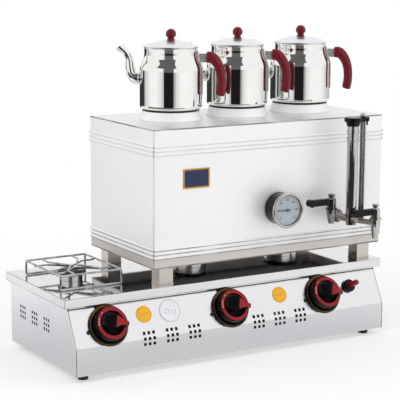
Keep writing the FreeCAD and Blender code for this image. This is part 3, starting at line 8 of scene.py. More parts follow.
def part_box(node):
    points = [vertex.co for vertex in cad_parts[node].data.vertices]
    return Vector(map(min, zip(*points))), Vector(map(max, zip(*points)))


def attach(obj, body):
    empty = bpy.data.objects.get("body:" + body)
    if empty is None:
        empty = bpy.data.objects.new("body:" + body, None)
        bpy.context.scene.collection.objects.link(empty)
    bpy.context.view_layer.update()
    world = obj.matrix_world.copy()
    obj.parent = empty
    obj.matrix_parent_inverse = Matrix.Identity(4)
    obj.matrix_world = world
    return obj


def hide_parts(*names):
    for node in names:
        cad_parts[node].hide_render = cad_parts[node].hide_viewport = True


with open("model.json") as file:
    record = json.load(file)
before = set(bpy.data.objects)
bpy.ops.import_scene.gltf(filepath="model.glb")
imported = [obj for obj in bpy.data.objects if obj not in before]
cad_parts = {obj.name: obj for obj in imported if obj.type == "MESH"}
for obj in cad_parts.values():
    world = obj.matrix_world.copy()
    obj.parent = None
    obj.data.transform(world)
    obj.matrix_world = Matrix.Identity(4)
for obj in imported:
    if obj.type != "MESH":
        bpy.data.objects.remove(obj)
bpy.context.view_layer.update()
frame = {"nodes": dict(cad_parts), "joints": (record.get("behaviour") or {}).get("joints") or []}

MM = 0.001
nodes = frame["nodes"]
joints = {joint["name"]: joint for joint in frame["joints"]}

# Studio. A pale floor with a dark mat, a white surround with dark stretches for bright metal to mirror, and
# a large soft lamp from the left front with a weaker one from the right. The camera stands where the
# photographer stood.


def tint(code):
    """Linear colour from an sRGB hex value."""
    parts = [int(code[i:i + 2], 16) / 255 for i in (0, 2, 4)]
    return [p / 12.92 if p <= 0.04045 else ((p + 0.055) / 1.055) ** 2.4 for p in parts] + [1.0]


def add_node(tree, kind, inputs=None, **settings):
    """Add a shader node. Inputs are values or the sockets that feed them; settings are the node's own."""
    node = tree.nodes.new("ShaderNode" + kind)
    for name, value in settings.items():
        setattr(node, name, value)
    for name, value in (inputs or {}).items():
        if isinstance(value, bpy.types.NodeSocket):
            tree.links.new(value, node.inputs[name])
        else:
            node.inputs[name].default_value = value
    return node


eye = Vector((-1.6264, -2.6907, 0.8929))
yaw, pitch, roll = math.radians(30.89), math.radians(10.10), math.radians(0.27)
ahead = Vector((math.sin(yaw) * math.cos(pitch), math.cos(yaw) * math.cos(pitch), -math.sin(pitch)))
level = Vector((math.cos(yaw), -math.sin(yaw), 0))
over = level.cross(ahead)
side = level * math.cos(roll) + over * math.sin(roll)
upward = over * math.cos(roll) - level * math.sin(roll)
view = bpy.data.cameras.new("photo_view")
view.sensor_width = 36
view.lens = 127.0
camera = bpy.data.objects.new("photo_view", view)
bpy.context.scene.collection.objects.link(camera)
turn = Matrix((side, upward, -ahead)).transposed().to_4x4()
camera.matrix_world = Matrix.Translation(eye) @ turn
bpy.context.scene.camera = camera
bpy.context.scene.view_settings.view_transform = "Standard"

# How light the studio is by bearing, in degrees from the back (+Y) over the right (+X), and from which slope
# upwards each ring of bearings holds. From 201 to 235, the camera's side of the room, every ring is dark, and
# overhead its screen is wider. The two low rings are dark at the back too, and the lowest over the mat.
RING_BLEND = 0.01
WARM_WHITE = (1.0, 0.985, 0.97)
FULL_TURN = 2 * math.pi
LIGHT_RINGS = (
    (-1.0, (
        (0, 0.04), (20, 0.05), (30, 0.6), (60, 0.95), (125, 1.0), (198, 1.0), (201, 0.012),
        (230, 0.03), (300, 0.04), (304, 1.0), (345, 1.0), (350, 0.7), (354, 0.5), (357, 0.04),
    )),
    (-0.138, (
        (0, 0.04), (24, 0.05), (34, 0.45), (85, 0.62), (106, 0.8), (125, 0.97), (170, 1.0), (188, 0.8),
        (198, 0.35), (202, 0.012), (235, 0.012), (237, 0.6), (250, 0.85), (265, 1.0), (290, 0.97),
        (305, 0.8), (320, 0.6), (323, 0.3), (329, 0.03), (350, 0.04),
    )),
    (0.0, ((0, 0.96), (197, 0.96), (201, 0.13), (235, 0.13), (240, 0.96), (330, 0.93))),
    (0.4, ((0, 0.96), (186, 0.96), (191, 0.12), (262, 0.12), (268, 0.93), (330, 0.93))),
)
surround = bpy.data.worlds.new("studio_surround")
bpy.context.scene.world = surround
surround.use_nodes = True
tree = surround.node_tree
tree.nodes.clear()
direction = add_node(tree, "TexCoord").outputs["Generated"]
parts = add_node(tree, "SeparateXYZ", {"Vector": direction}).outputs
bearing = add_node(tree, "Math", {0: parts["X"], 1: parts["Y"]}, operation="ARCTAN2").outputs[0]
bearing = add_node(tree, "Math", {0: bearing, 1: FULL_TURN, 2: 0.0}, operation="WRAP").outputs[0]
share = add_node(tree, "Math", {0: bearing, 1: FULL_TURN}, operation="DIVIDE").outputs[0]
mirrored = None
for slope, stops in LIGHT_RINGS:
    ring = add_node(tree, "ValToRGB", {0: share})
    for count, (degrees, light) in enumerate(stops):
        stop = ring.color_ramp.elements[count] if count < 2 else ring.color_ramp.elements.new(degrees / 360)
        stop.position = degrees / 360
        stop.color = [light * part for part in WARM_WHITE] + [1.0]
    if mirrored is None:
        mirrored = ring.outputs[0]
        continue
    higher = {"Value": parts["Z"], "From Min": slope, "From Max": slope + RING_BLEND}
    higher = add_node(tree, "MapRange", higher).outputs[0]
    rings = {"Factor": higher, "A": mirrored, "B": ring.outputs[0]}
    mirrored = add_node(tree, "Mix", rings, data_type="RGBA").outputs["Result"]
soft = add_node(tree, "Background", {"Color": (0.80, 0.80, 0.80, 1.0)})
seen = add_node(tree, "Background", {"Color": (1.0, 1.0, 1.0, 1.0)})
shine = add_node(tree, "Background", {"Color": mirrored})
path = add_node(tree, "LightPath").outputs
glossy = add_node(tree, "MixShader", {0: path["Is Glossy Ray"], 1: soft.outputs[0], 2: shine.outputs[0]})
clear = add_node(
    tree, "Math", {0: path["Is Camera Ray"], 1: path["Is Transmission Ray"]}, operation="MAXIMUM"
)
both = add_node(tree, "MixShader", {0: clear.outputs[0], 1: glossy.outputs[0], 2: seen.outputs[0]})
add_node(tree, "OutputWorld", {"Surface": both.outputs[0]})


def deselect():
    """Leave nothing selected, so that the next operator acts on its own piece only."""
    bpy.ops.object.select_all(action="DESELECT")


# The floor is white card. Near the object it shows the soft shadow, and further out it is as white as the
# surround.
FLOOR_SIZE = 8.0
deselect()
bpy.ops.mesh.primitive_plane_add(size=FLOOR_SIZE, location=(0, 0, -0.0005))
floor = bpy.context.object
floor.name = "studio_floor"
paper = bpy.data.materials.new("white_card")
paper.use_nodes = True
tree = paper.node_tree
card = tree.nodes["Principled BSDF"]
card.inputs["Base Color"].default_value = tint("fcfcfc")
card.inputs["Roughness"].default_value = 0.9
place = add_node(tree, "TexCoord").outputs["Object"]
away = add_node(tree, "VectorMath", {0: place}, operation="LENGTH").outputs["Value"]
far = {"Value": away, "From Min": 0.45, "From Max": 1.3, "To Min": 0.45, "To Max": 1.0}
far = add_node(tree, "MapRange", far).outputs[0]
path = add_node(tree, "LightPath").outputs
seen = add_node(
    tree, "Math", {0: path["Is Camera Ray"], 1: path["Is Transmission Ray"]}, operation="MAXIMUM"
).outputs[0]
share = add_node(tree, "Math", {0: far, 1: seen}, operation="MULTIPLY").outputs[0]
white = add_node(tree, "Emission", {"Color": (1.0, 1.0, 1.0, 1.0)})
mixed = add_node(tree, "MixShader", {0: share, 1: card.outputs[0], 2: white.outputs[0]})
# Steel mirrors the card only near the object; there the card glows with a painted shadow, greyer nearer it.
oval = add_node(tree, "VectorMath", {0: place, 1: (1.0, 1.6, 1.0)}, operation="MULTIPLY").outputs[0]
oval = add_node(tree, "VectorMath", {0: oval}, operation="LENGTH").outputs["Value"]
shaded = {"Value": oval, "From Min": 0.5, "From Max": 1.2, "To Min": 0.66, "To Max": 0.95}
shaded = add_node(tree, "MapRange", shaded).outputs[0]
near = add_node(tree, "Emission", {"Color": (1.0, 0.99, 0.99, 1.0), "Strength": shaded})
ended = add_node(tree, "MapRange", {"Value": oval, "From Min": 1.1, "From Max": 1.3})
open_floor = add_node(tree, "BsdfTransparent")
mirrored = add_node(tree, "MixShader", {0: ended.outputs[0], 1: near.outputs[0], 2: open_floor.outputs[0]})
# A dark felt mat lies on the floor to the left of the object and in front of it, for the plated tap set to
# mirror. Its slanting edge leaves the floor beside the stove white, and its edges are soft.
MAT_SLANT, MAT_EDGE, MAT_FRONT, MAT_END, MAT_SOFT = (0.87, 0.5, 0.0), -0.52, -0.2, 3.2, 0.02
lean = add_node(tree, "VectorMath", {0: place, 1: MAT_SLANT}, operation="DOT_PRODUCT").outputs["Value"]
front = add_node(tree, "SeparateXYZ", {"Vector": place}).outputs["Y"]
mat = 1.0
for value, edge in ((lean, MAT_EDGE), (front, MAT_FRONT), (away, MAT_END)):
    inside = {"Value": value, "From Min": edge + MAT_SOFT, "From Max": edge - MAT_SOFT}
    inside = add_node(tree, "MapRange", inside).outputs[0]
    mat = add_node(tree, "Math", {0: mat, 1: inside}, operation="MULTIPLY").outputs[0]
felt = add_node(tree, "Emission", {"Color": (1.0, 0.9, 0.85, 1.0), "Strength": 0.045})
mirrored = add_node(tree, "MixShader", {0: mat, 1: mirrored.outputs[0], 2: felt.outputs[0]})
whole = add_node(tree, "MixShader", {0: path["Is Glossy Ray"], 1: mixed.outputs[0], 2: mirrored.outputs[0]})
tree.links.new(whole.outputs[0], tree.nodes["Material Output"].inputs["Surface"])
floor.data.materials.append(paper)

# The lamps light the colours; gloss and polish show the surround in their place. Each has its place, size
# and power.
LAMPS = (
    ("key_lamp", (-2.5, -1.8, 2.5), 1.8, 42),
    ("side_lamp", (2.6, -1.6, 2.0), 1.6, 16),
)
LAMP_AIM = Vector((0, 0, 0.3))
for name, place, size, power in LAMPS:
    lamp = bpy.data.lights.new(name, "AREA")
    lamp.size = size
    lamp.energy = power
    holder = bpy.data.objects.new(name, lamp)
    holder.location = place
    holder.rotation_euler = (LAMP_AIM - Vector(place)).to_track_quat("-Z", "Y").to_euler()
    holder.visible_glossy = False
    bpy.context.scene.collection.objects.link(holder)

# Stove case. Folded stainless sheet with a bright rolled finish: the front panel, the wrap and the bottom.
# It mirrors with a blur. Rolling leaves very fine lines along the sheet, drawn here 0.8 mm apart so that they
# show, and the folded ends of the front are painted brown as painted shade.


def start_material(name):
    """A new material, its node tree, its main shader and its Object coordinates."""
    material = bpy.data.materials.new(name)
    material.use_nodes = True
    tree = material.node_tree
    place = add_node(tree, "TexCoord").outputs["Object"]
    return material, tree, tree.nodes["Principled BSDF"], place


def near_edges(tree, place, node_names, reach, pairs=("XY", "YZ", "XZ")):
    """1 on the edges of the box round some CAD nodes, falling to 0 at a reach in mm from them."""
    corners = [Vector(corner) for name in node_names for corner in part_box(name)]
    low = Vector([min(corner[i] for corner in corners) for i in range(3)])
    high = Vector([max(corner[i] for corner in corners) for i in range(3)])
    off = add_node(tree, "VectorMath", {0: place, 1: (low + high) / 2}, operation="SUBTRACT").outputs[0]
    off = add_node(tree, "VectorMath", {0: off}, operation="ABSOLUTE").outputs[0]
    off = add_node(tree, "VectorMath", {0: off, 1: (high - low) / 2}, operation="SUBTRACT").outputs[0]
    off = add_node(tree, "VectorMath", {0: off}, operation="ABSOLUTE").outputs[0]
    parts = add_node(tree, "SeparateXYZ", {"Vector": off}).outputs
    nearest = 1.0
    for one, other in pairs:
        away = add_node(tree, "Math", {0: parts[one], 1: parts[other]}, operation="MAXIMUM").outputs[0]
        nearest = add_node(tree, "Math", {0: nearest, 1: away}, operation="MINIMUM").outputs[0]
    fall = {"Value": nearest, "From Min": reach * MM, "From Max": 0.5 * reach * MM}
    return add_node(tree, "MapRange", fall).outputs[0]


# Patterns to a metre: slow clouds about 110 mm wide, and patches about 70 mm wide in the painted brown shade
# of edges and creases. A rolling line is 25 mm long and 0.8 to 1 mm wide.
CLOUDS, PAINTED_SHADE_PATCHES, ROLL_LINE, PAINTED_SHADE_BROWN = 9.0, 14.0, (25.0, 1.0, 0.8), "3a302a"
BUMP_DEPTH = 0.2 * MM


def sheet_steel(
    name, light, shade, smooth, rough, relief=0.03, metal=1.0, edges=None, creases=(), foot=None
):
    """Stainless sheet: metal whose tone and gloss drift slowly, with fine rolling lines along X. Painted
    brown shade darkens its folded or welded edges and creases at given heights, and its foot below a height
    is darker."""
    material, tree, shader, place = start_material(name)
    shader.inputs["Metallic"].default_value = metal
    drift = add_node(tree, "TexNoise", {"Vector": place, "Scale": CLOUDS, "Detail": 2.0})
    colour = {"Factor": drift.outputs[0], "A": tint(light), "B": tint(shade)}
    colour = add_node(tree, "Mix", colour, data_type="RGBA").outputs["Result"]
    rise = add_node(tree, "SeparateXYZ", {"Vector": place}).outputs["Z"]
    if foot:
        height, code = foot
        below = {"Value": rise, "From Min": height + 0.5 * MM, "From Max": height - 0.5 * MM}
        below = add_node(tree, "MapRange", below).outputs[0]
        colour = {"Factor": below, "A": colour, "B": tint(code)}
        colour = add_node(tree, "Mix", colour, data_type="RGBA").outputs["Result"]
    marks = 0.0
    for height, depth in creases:
        away = add_node(tree, "Math", {0: rise, 1: height}, operation="SUBTRACT").outputs[0]
        away = add_node(tree, "Math", {0: away}, operation="ABSOLUTE").outputs[0]
        line = {"Value": away, "From Min": 2.0 * MM, "From Max": 0.8 * MM, "To Max": depth}
        line = add_node(tree, "MapRange", line).outputs[0]
        marks = add_node(tree, "Math", {0: marks, 1: line}, operation="MAXIMUM").outputs[0]
    if edges:
        painted_edge_shade = near_edges(tree, place, *edges)
        marks = add_node(tree, "Math", {0: marks, 1: painted_edge_shade}, operation="MAXIMUM").outputs[0]
    # Painted shade: edges and creases are browned, more strongly in some patches than in others.
    if edges or creases:
        patchy = add_node(tree, "TexNoise", {"Vector": place, "Scale": PAINTED_SHADE_PATCHES, "Detail": 2.0})
        share = {
            "Value": patchy.outputs[0], "From Min": 0.35, "From Max": 0.6, "To Min": 0.45, "To Max": 0.9
        }
        share = add_node(tree, "MapRange", share).outputs[0]
        share = add_node(tree, "Math", {0: share, 1: marks}, operation="MULTIPLY").outputs[0]
        colour = {"Factor": share, "A": colour, "B": tint(PAINTED_SHADE_BROWN)}
        colour = add_node(tree, "Mix", colour, data_type="RGBA").outputs["Result"]
    tree.links.new(colour, shader.inputs["Base Color"])
    along = add_node(tree, "Mapping", {"Vector": place, "Scale": [1.0 / size for size in ROLL_LINE]})
    lines = add_node(tree, "TexNoise", {"Vector": along.outputs[0], "Scale": 1 / MM, "Detail": 2.0})
    gloss = {"Value": lines.outputs[0], "From Min": 0.3, "From Max": 0.7, "To Min": smooth, "To Max": rough}
    tree.links.new(add_node(tree, "MapRange", gloss).outputs[0], shader.inputs["Roughness"])
    bump = add_node(tree, "Bump", {"Height": lines.outputs[0], "Strength": relief, "Distance": BUMP_DEPTH})
    tree.links.new(bump.outputs[0], shader.inputs["Normal"])
    return material


def cover(node_names, material):
    """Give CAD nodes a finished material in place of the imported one."""
    for name in node_names:
        for slot in nodes[name].material_slots:
            slot.material = material


# Painted shade: a brown line about 4 mm wide along the front's folded ends at its sides.
case_edges = (["front_panel", "case_wrap"], 4.0, ("XX",))
front_steel = sheet_steel("bright_rolled_stainless", "f3f4f7", "e8eaee", 0.14, 0.26, edges=case_edges)
cover(["front_panel"], front_steel)
cover(["case_wrap", "bottom_panel"], sheet_steel("rolled_stainless", "f0f1f5", "e6e8ec", 0.14, 0.26))

# Worktop. The same sheet polished to a mirror, its edges folded down. The folds are shaded smooth.
# It mirrors the dark floor of the tank that stands over it. Painted shade darkens its edges in a thin line.


def only(piece):
    """Select one piece and make it the active one."""
    deselect()
    piece.select_set(True)
    bpy.context.view_layer.objects.active = piece


def finish(piece, material, slot, body, *replaced):
    """Give a piece its material and its body, and hide the nodes it stands for. The slot is not used."""
    if material is not None:
        piece.data.materials.clear()
        piece.data.materials.append(material)
    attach(piece, body)
    if replaced:
        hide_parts(*replaced)


def smoothed(node_name, piece_name, material, slot, body="stove", angle=30):
    """Replace a CAD node by a piece in its own shape, its triangles joined so that its curves shade well."""
    piece = bpy.data.objects.new(piece_name, nodes[node_name].data.copy())
    bpy.context.scene.collection.objects.link(piece)
    only(piece)
    bpy.ops.mesh.customdata_custom_splitnormals_clear()
    bpy.ops.object.mode_set(mode="EDIT")
    bpy.ops.mesh.select_all(action="SELECT")
    bpy.ops.mesh.remove_doubles(threshold=0.004 * MM)
    bpy.ops.mesh.dissolve_limited(angle_limit=math.radians(0.4))
    bpy.ops.object.mode_set(mode="OBJECT")
    bpy.ops.object.shade_smooth_by_angle(angle=math.radians(angle))
    finish(piece, material, slot, body, node_name)


# Painted shade: a thin brown line along the worktop's edges, standing for the shade under its lip.
lip_edges = (["worktop"], 1.2)
mirror_steel = sheet_steel("mirror_stainless", "e8e8eb", "dcdde0", 0.03, 0.07, edges=lip_edges)
smoothed("worktop", "worktop_sheet", mirror_steel, "worktop_steel")


def moulded(name, code, rough, grain_mm, relief=0.05, shine=0.5):
    """Moulded plastic or rubber: an even colour with a fine moulded grain and slightly uneven gloss."""
    material, tree, shader, place = start_material(name)
    grain = add_node(tree, "TexNoise", {"Vector": place, "Scale": 1000.0 / grain_mm, "Detail": 3.0})
    deep = [0.8 * part for part in tint(code)[:3]] + [1.0]
    colour = {"Factor": grain.outputs[0], "A": tint(code), "B": deep}
    colour = add_node(tree, "Mix", colour, data_type="RGBA")
    tree.links.new(colour.outputs["Result"], shader.inputs["Base Color"])
    gloss = add_node(tree, "MapRange", {"Value": grain.outputs[0], "To Min": rough, "To Max": rough + 0.12})
    tree.links.new(gloss.outputs[0], shader.inputs["Roughness"])
    bump = add_node(tree, "Bump", {"Height": grain.outputs[0], "Strength": relief, "Distance": BUMP_DEPTH})
    tree.links.new(bump.outputs[0], shader.inputs["Normal"])
    shader.inputs["Specular IOR Level"].default_value = shine
    return material


# Feet. Turned from black rubber, each held by a screw through the bottom. A coarse grain keeps the rubber
# dull.
smoothed("rubber_feet", "turned_feet", moulded("black_rubber", "161616", 0.6, 0.8, 0.2), "foot_rubber")


def bright_metal(name, light, shade, smooth, rough, patch_mm=12.0):
    """Polished or plated metal with slight clouding and handling marks; dark ones serve as painted
    reflection.
    """
    material, tree, shader, place = start_material(name)
    shader.inputs["Metallic"].default_value = 1.0
    cloud = add_node(tree, "TexNoise", {"Vector": place, "Scale": 1000.0 / patch_mm, "Detail": 4.0})
    colour = {"Factor": cloud.outputs[0], "A": tint(light), "B": tint(shade)}
    colour = add_node(tree, "Mix", colour, data_type="RGBA")
    tree.links.new(colour.outputs["Result"], shader.inputs["Base Color"])
    gloss = {
        "Value": cloud.outputs[0], "From Min": 0.35, "From Max": 0.7, "To Min": smooth, "To Max": rough
    }
    tree.links.new(add_node(tree, "MapRange", gloss).outputs[0], shader.inputs["Roughness"])
    return material


# Gas line. A zinc plated rail with a return pipe to the inlet, brass valves and plugs, aluminium feed pipes
# and steel spindles. The zinc is grey and nearly dull, the brass warm, the aluminium pale and the steel dark.
cover(["gas_rail"], bright_metal("zinc_plated_pipe", "b9b9b4", "98988f", 0.35, 0.5))
brass = bright_metal("machined_brass", "c9a24f", "a9803a", 0.25, 0.4)
cover(["gas_valves", "valve_plug_1", "valve_plug_2", "valve_plug_3"], brass)
cover(["feed_pipes"], bright_metal("drawn_aluminium", "c4c6c8", "a6a8aa", 0.3, 0.45))
cover(["spindle_1", "spindle_2", "spindle_3"], bright_metal("turned_steel", "a8a8a8", "8c8c8c", 0.25, 0.4))

# Burners. Bright turned cups and black enamelled caps with flame ports cut round the edge. The turned metal
# blurs what it mirrors, and the enamel is glassy.
cup_metal = bright_metal("turned_aluminium", "dcdcda", "c4c4c0", 0.12, 0.25)
smoothed("burner_bases", "burner_cups", cup_metal, "burner_metal")
cap_enamel = moulded("black_enamel", "101012", 0.25, 2.0, 0.05, 0.3)
smoothed("burner_caps", "burner_ported_caps", cap_enamel, "burner_enamel")

# Grate. Plated steel wire, bent and spot welded where it crosses. The plating is bright, with dark patches
# painted in as a painted reflection of dark surroundings.
grate_wire = bright_metal("plated_wire", "ececee", "4a4644", 0.06, 0.16, 16.0)
smoothed("pan_support", "welded_wire_grate", grate_wire, "grate_wire", "grate", 40)

# Knob bezels. Black mouldings screwed to the sloping panel, each with two small ears and, near its rim, a
# thin printed gold line with a shorter scale line inside it on the left.


def turned(name, outline, steps=96, sweep=360.0, start=0.0):
    """Spin an outline of (radius, height) points in mm round Z, the way a turned or spun piece is made."""
    deselect()
    bpy.ops.mesh.primitive_plane_add(size=MM)
    piece = bpy.context.object
    piece.name = name
    piece.data.name = name
    bpy.ops.object.mode_set(mode="EDIT")
    bpy.ops.mesh.select_mode(type="VERT")
    bpy.ops.mesh.select_all(action="SELECT")
    bpy.ops.mesh.merge(type="CENTER")
    aim = Vector((math.cos(math.radians(start)), math.sin(math.radians(start)), 0))
    radius, height = outline[0]
    bpy.ops.transform.translate(value=aim * radius * MM + Vector((0, 0, height * MM)))
    for (radius, height), (wider, higher) in zip(outline, outline[1:]):
        step = aim * (wider - radius) * MM + Vector((0, 0, (higher - height) * MM))
        bpy.ops.mesh.extrude_region_move(TRANSFORM_OT_translate={"value": step})
    bpy.ops.mesh.select_all(action="SELECT")
    bpy.ops.mesh.spin(steps=steps, angle=math.radians(sweep), center=(0, 0, 0), axis=(0, 0, 1))
    bpy.ops.mesh.select_all(action="SELECT")
    bpy.ops.mesh.remove_doubles(threshold=0.002 * MM)
    if sweep < 360:
        bpy.ops.mesh.fill_holes(sides=0)
        bpy.ops.mesh.select_all(action="SELECT")
    bpy.ops.mesh.normals_make_consistent(inside=False)
    bpy.ops.object.mode_set(mode="OBJECT")
    bpy.ops.object.shade_smooth_by_angle(angle=math.radians(35))
    return piece


def set_down(piece, matrix):
    """Move a finished piece to its place and leave the place in its mesh."""
    only(piece)
    piece.matrix_world = matrix
    bpy.ops.object.transform_apply()
    return piece


def welded(name, pieces):
    """Join pieces into one."""
    deselect()
    for piece in pieces:
        piece.select_set(True)
    bpy.context.view_layer.objects.active = pieces[0]
    bpy.ops.object.join()
    pieces[0].name = name
    pieces[0].data.name = name
    return pieces[0]


KNOBS = ("1", "2", "3")
outward = Vector(joints["gas_turn_1"]["axis"])
along = Vector((1, 0, 0))
up_slope = outward.cross(along)
panel_face = Matrix((along, up_slope, outward)).transposed().to_4x4()
hinges = {index: Vector(joints["gas_turn_" + index]["pos_m"]) for index in KNOBS}


def on_panel(place, rise=0.0):
    """The sloping panel's own frame at x = place, a rise in mm up the slope from the knobs' axes."""
    middle = Vector((place, hinges["1"].y, hinges["1"].z)) + up_slope * rise * MM
    return Matrix.Translation(middle) @ panel_face


# ABS moulded in gloss black is nearly black, with small bright highlights. The lines are gold foil, a warm
# metal that blurs.
black_moulding = moulded("black_gloss_moulding", "0b0a0d", 0.14, 1.0, 0.04, 0.22)
smoothed("knob_bezels", "moulded_bezels", black_moulding, "control_plastic")
gold_print = bright_metal("gold_foil_print", "c08a2c", "9a6a1e", 0.3, 0.45)
BEZEL_TOP, GOLD_IN, GOLD_OUT, SCALE_STEP = 7.0, 43.2, 43.9, 2.6
SUNK, PROUD = BEZEL_TOP - 0.02, BEZEL_TOP + 0.1
gold_lines = []
for index in KNOBS:
    rim = [(GOLD_IN, SUNK), (GOLD_OUT, SUNK), (GOLD_OUT, PROUD), (GOLD_IN, PROUD), (GOLD_IN, SUNK)]
    gold_lines.append(set_down(turned("gold_rim_" + index, rim), on_panel(hinges[index].x)))
    line = [(radius - SCALE_STEP, height) for radius, height in rim]
    scale_line = turned("gold_line_" + index, line, steps=24, sweep=62, start=146)
    gold_lines.append(set_down(scale_line, on_panel(hinges[index].x)))
finish(welded("bezel_gold_lines", gold_lines), gold_print, "control_plastic", "stove")

# Knobs. Black moulded barrel with a red ring let into its face, a dished middle, and a waisted finger grip
# with a red inlay that narrows towards the pointer. Small white marks are printed on the ring's left.
RING_OUT, RING_IN, KNOB_FACE = 34.6, 27.2, 25.0
MARK_OUT, MARK_IN, DOT, BROKEN_LINE, DASH = 31.8, 30.6, (146, 151), (168, 206), 3.75
KNOB_REST = -19.0
knob_outline = [
    (0, 8.6), (37.4, 8.6), (37.9, 9.2), (37.9, 11.5), (36.4, 19), (35.8, 23.4), (35.2, 24.6),
    (RING_OUT, KNOB_FACE), (MARK_OUT + 0.1, KNOB_FACE), (MARK_IN - 0.1, KNOB_FACE), (RING_IN, KNOB_FACE),
    (26.8, 24.7), (26.5, 24.0), (25.6, 21.0), (23.5, 19.6), (19, 19.0), (0, 19.0),
]
# Each station of the grip: x, half width, top.
GRIP_BAR = (
    (-26.0, 6.0, 25.0), (-24.0, 9.5, 30.0), (-19.0, 12.5, 35.0), (-12.0, 14.5, 39.5), (-5.0, 15.0, 43.0),
    (0.0, 14.4, 45.0), (5.0, 12.0, 46.0), (10.0, 9.0, 46.0), (16.0, 6.4, 45.8), (22.0, 5.2, 45.2),
    (29.0, 4.8, 44.2), (30.5, 3.6, 42.0),
)
GRIP_FLOOR = 18.6
INLAY_START, INLAY_END, INLAY_EDGE, INLAY_DEPTH = -2.5, 29.0, 1.0, 0.3
# The red ABS is deep, with broader highlights than the black, and the white ink is matt.
red_moulding = moulded("red_gloss_moulding", "98141e", 0.22, 1.0, 0.04, 0.3)
white_print = moulded("white_pad_print", "d8d8d6", 0.5, 1.0, 0.02)


def paint(piece, material, chosen):
    """Give the faces for which chosen(middle in mm, normal) is true another material."""
    piece.data.materials.append(material)
    index = len(piece.data.materials) - 1
    for face in piece.data.polygons:
        if chosen(face.center / MM, face.normal):
            face.material_index = index


def ring_face(inner, outer, up=0.9):
    """Chooses the faces between two radii in mm that look up."""
    return lambda middle, normal: normal.z > up and inner < middle.xy.length < outer


def pick(piece, chosen):
    """Select, in edit mode, the faces for which chosen(middle in mm, normal) is true."""
    bpy.ops.object.mode_set(mode="OBJECT")
    for part in (piece.data.vertices, piece.data.edges):
        for item in part:
            item.select = False
    for face in piece.data.polygons:
        face.select = chosen(face.center / MM, face.normal)
    bpy.ops.object.mode_set(mode="EDIT")
    bpy.ops.mesh.select_mode(type="FACE")


def rounded(piece, width, segments=2, angle=35):
    """Break a piece's edges with a small round, and even out the shading of its flat faces."""
    only(piece)
    bpy.ops.object.modifier_add(type="BEVEL")
    bevel = piece.modifiers[-1]
    bevel.width = width * MM
    bevel.segments = segments
    bevel.limit_method = "ANGLE"
    bevel.angle_limit = math.radians(angle)
    bpy.ops.object.modifier_apply(modifier=bevel.name)
    bpy.ops.object.shade_smooth_by_angle(angle=math.radians(50))
    bpy.ops.object.modifier_add(type="WEIGHTED_NORMAL")
    piece.modifiers[-1].keep_sharp = True
    bpy.ops.object.modifier_apply(modifier=piece.modifiers[-1].name)
    return piece


def finger_grip(name):
    """The knob's grip: a bar drawn out station by station, its red inlay inset in the top."""
    x, half, top = GRIP_BAR[0]
    deselect()
    middle = Vector((x, 0, (top + GRIP_FLOOR) / 2)) * MM
    bpy.ops.mesh.primitive_plane_add(size=MM, location=middle, rotation=(0, math.radians(-90), 0))
    piece = bpy.context.object
    piece.name = name
    bpy.ops.object.transform_apply()
    bpy.ops.object.mode_set(mode="EDIT")
    bpy.ops.mesh.select_all(action="SELECT")
    bpy.ops.transform.resize(value=(1, 2 * half, top - GRIP_FLOOR), center_override=middle)
    for (x, half, top), (further, wider, higher) in zip(GRIP_BAR, GRIP_BAR[1:]):
        bpy.ops.mesh.extrude_region_move(TRANSFORM_OT_translate={"value": ((further - x) * MM, 0, 0)})
        growth = (1, wider / half, (higher - GRIP_FLOOR) / (top - GRIP_FLOOR))
        bpy.ops.transform.resize(value=growth, center_override=(further * MM, 0, GRIP_FLOOR * MM))
    bpy.ops.mesh.select_all(action="SELECT")
    bpy.ops.mesh.normals_make_consistent(inside=False)
    pick(piece, lambda middle, normal: normal.z > 0.7 and INLAY_START < middle.x < INLAY_END)
    bpy.ops.mesh.inset(thickness=INLAY_EDGE * MM, depth=-INLAY_DEPTH * MM)
    bpy.ops.object.mode_set(mode="OBJECT")
    piece.data.materials.append(black_moulding)
    piece.data.materials.append(red_moulding)
    for face in piece.data.polygons:
        if face.select:
            face.material_index = 1
    return rounded(piece, 0.9, segments=3, angle=25)


def on_marks(middle):
    """Where the white marks lie: a dot at the upper left and a broken line down the left."""
    bearing = math.degrees(math.atan2(middle.y, middle.x)) % 360
    line = BROKEN_LINE[0] < bearing < BROKEN_LINE[1] and int(bearing / DASH) % 3 != 0
    return MARK_IN < middle.xy.length < MARK_OUT and (line or DOT[0] < bearing < DOT[1])


for index in KNOBS:
    barrel = turned("knob_barrel_" + index, knob_outline)
    barrel.data.materials.append(black_moulding)
    paint(barrel, red_moulding, ring_face(RING_IN, RING_OUT))
    paint(barrel, white_print, lambda middle, normal: normal.z > 0.9 and on_marks(middle))
    knob = welded("gas_knob_" + index, [barrel, finger_grip("knob_grip_" + index)])
    set_down(knob, on_panel(hinges[index].x) @ Matrix.Rotation(math.radians(KNOB_REST), 4, "Z"))
    finish(knob, None, "control_plastic", f"knob_{index}_body", "knob_" + index)

# Piezo igniter. A round black collar screwed into the panel, its nut behind, and a long red push button.
# Both are ABS mouldings like the knobs, in the same gloss black and red.
IGNITER_RISE = 10.3
igniter_place = (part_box("igniter_button")[0][0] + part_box("igniter_button")[1][0]) / 2
collar_outline = [
    (0, -30), (6.35, -30), (6.35, 10.0), (6.9, 11.0), (10.5, 11.0), (13.4, 9.8), (14.8, 7.4), (15.0, 5.2),
    (14.2, 2.4), (12.4, 0.7), (9.5, 0.35), (7.95, 0.35), (7.95, -1.6), (13, -1.6), (13, -6.4), (7.95, -6.4),
    (7.95, -33.5), (0, -33.5),
]
collar = rounded(turned("igniter_collar", collar_outline), 0.4)
set_down(collar, on_panel(igniter_place, IGNITER_RISE))
finish(collar, black_moulding, "igniter_plastic", "stove", "igniter_body")
button_outline = [
    (0, -21), (6.2, -21), (6.3, 29), (6.3, 35.5), (5.7, 37.6), (4.2, 38.7), (2.2, 39.0), (0, 39.0)
]
button = rounded(turned("igniter_push_button", button_outline, 48), 0.3)
set_down(button, on_panel(igniter_place, IGNITER_RISE))
finish(button, red_moulding, "button_plastic", "button", "igniter_button")

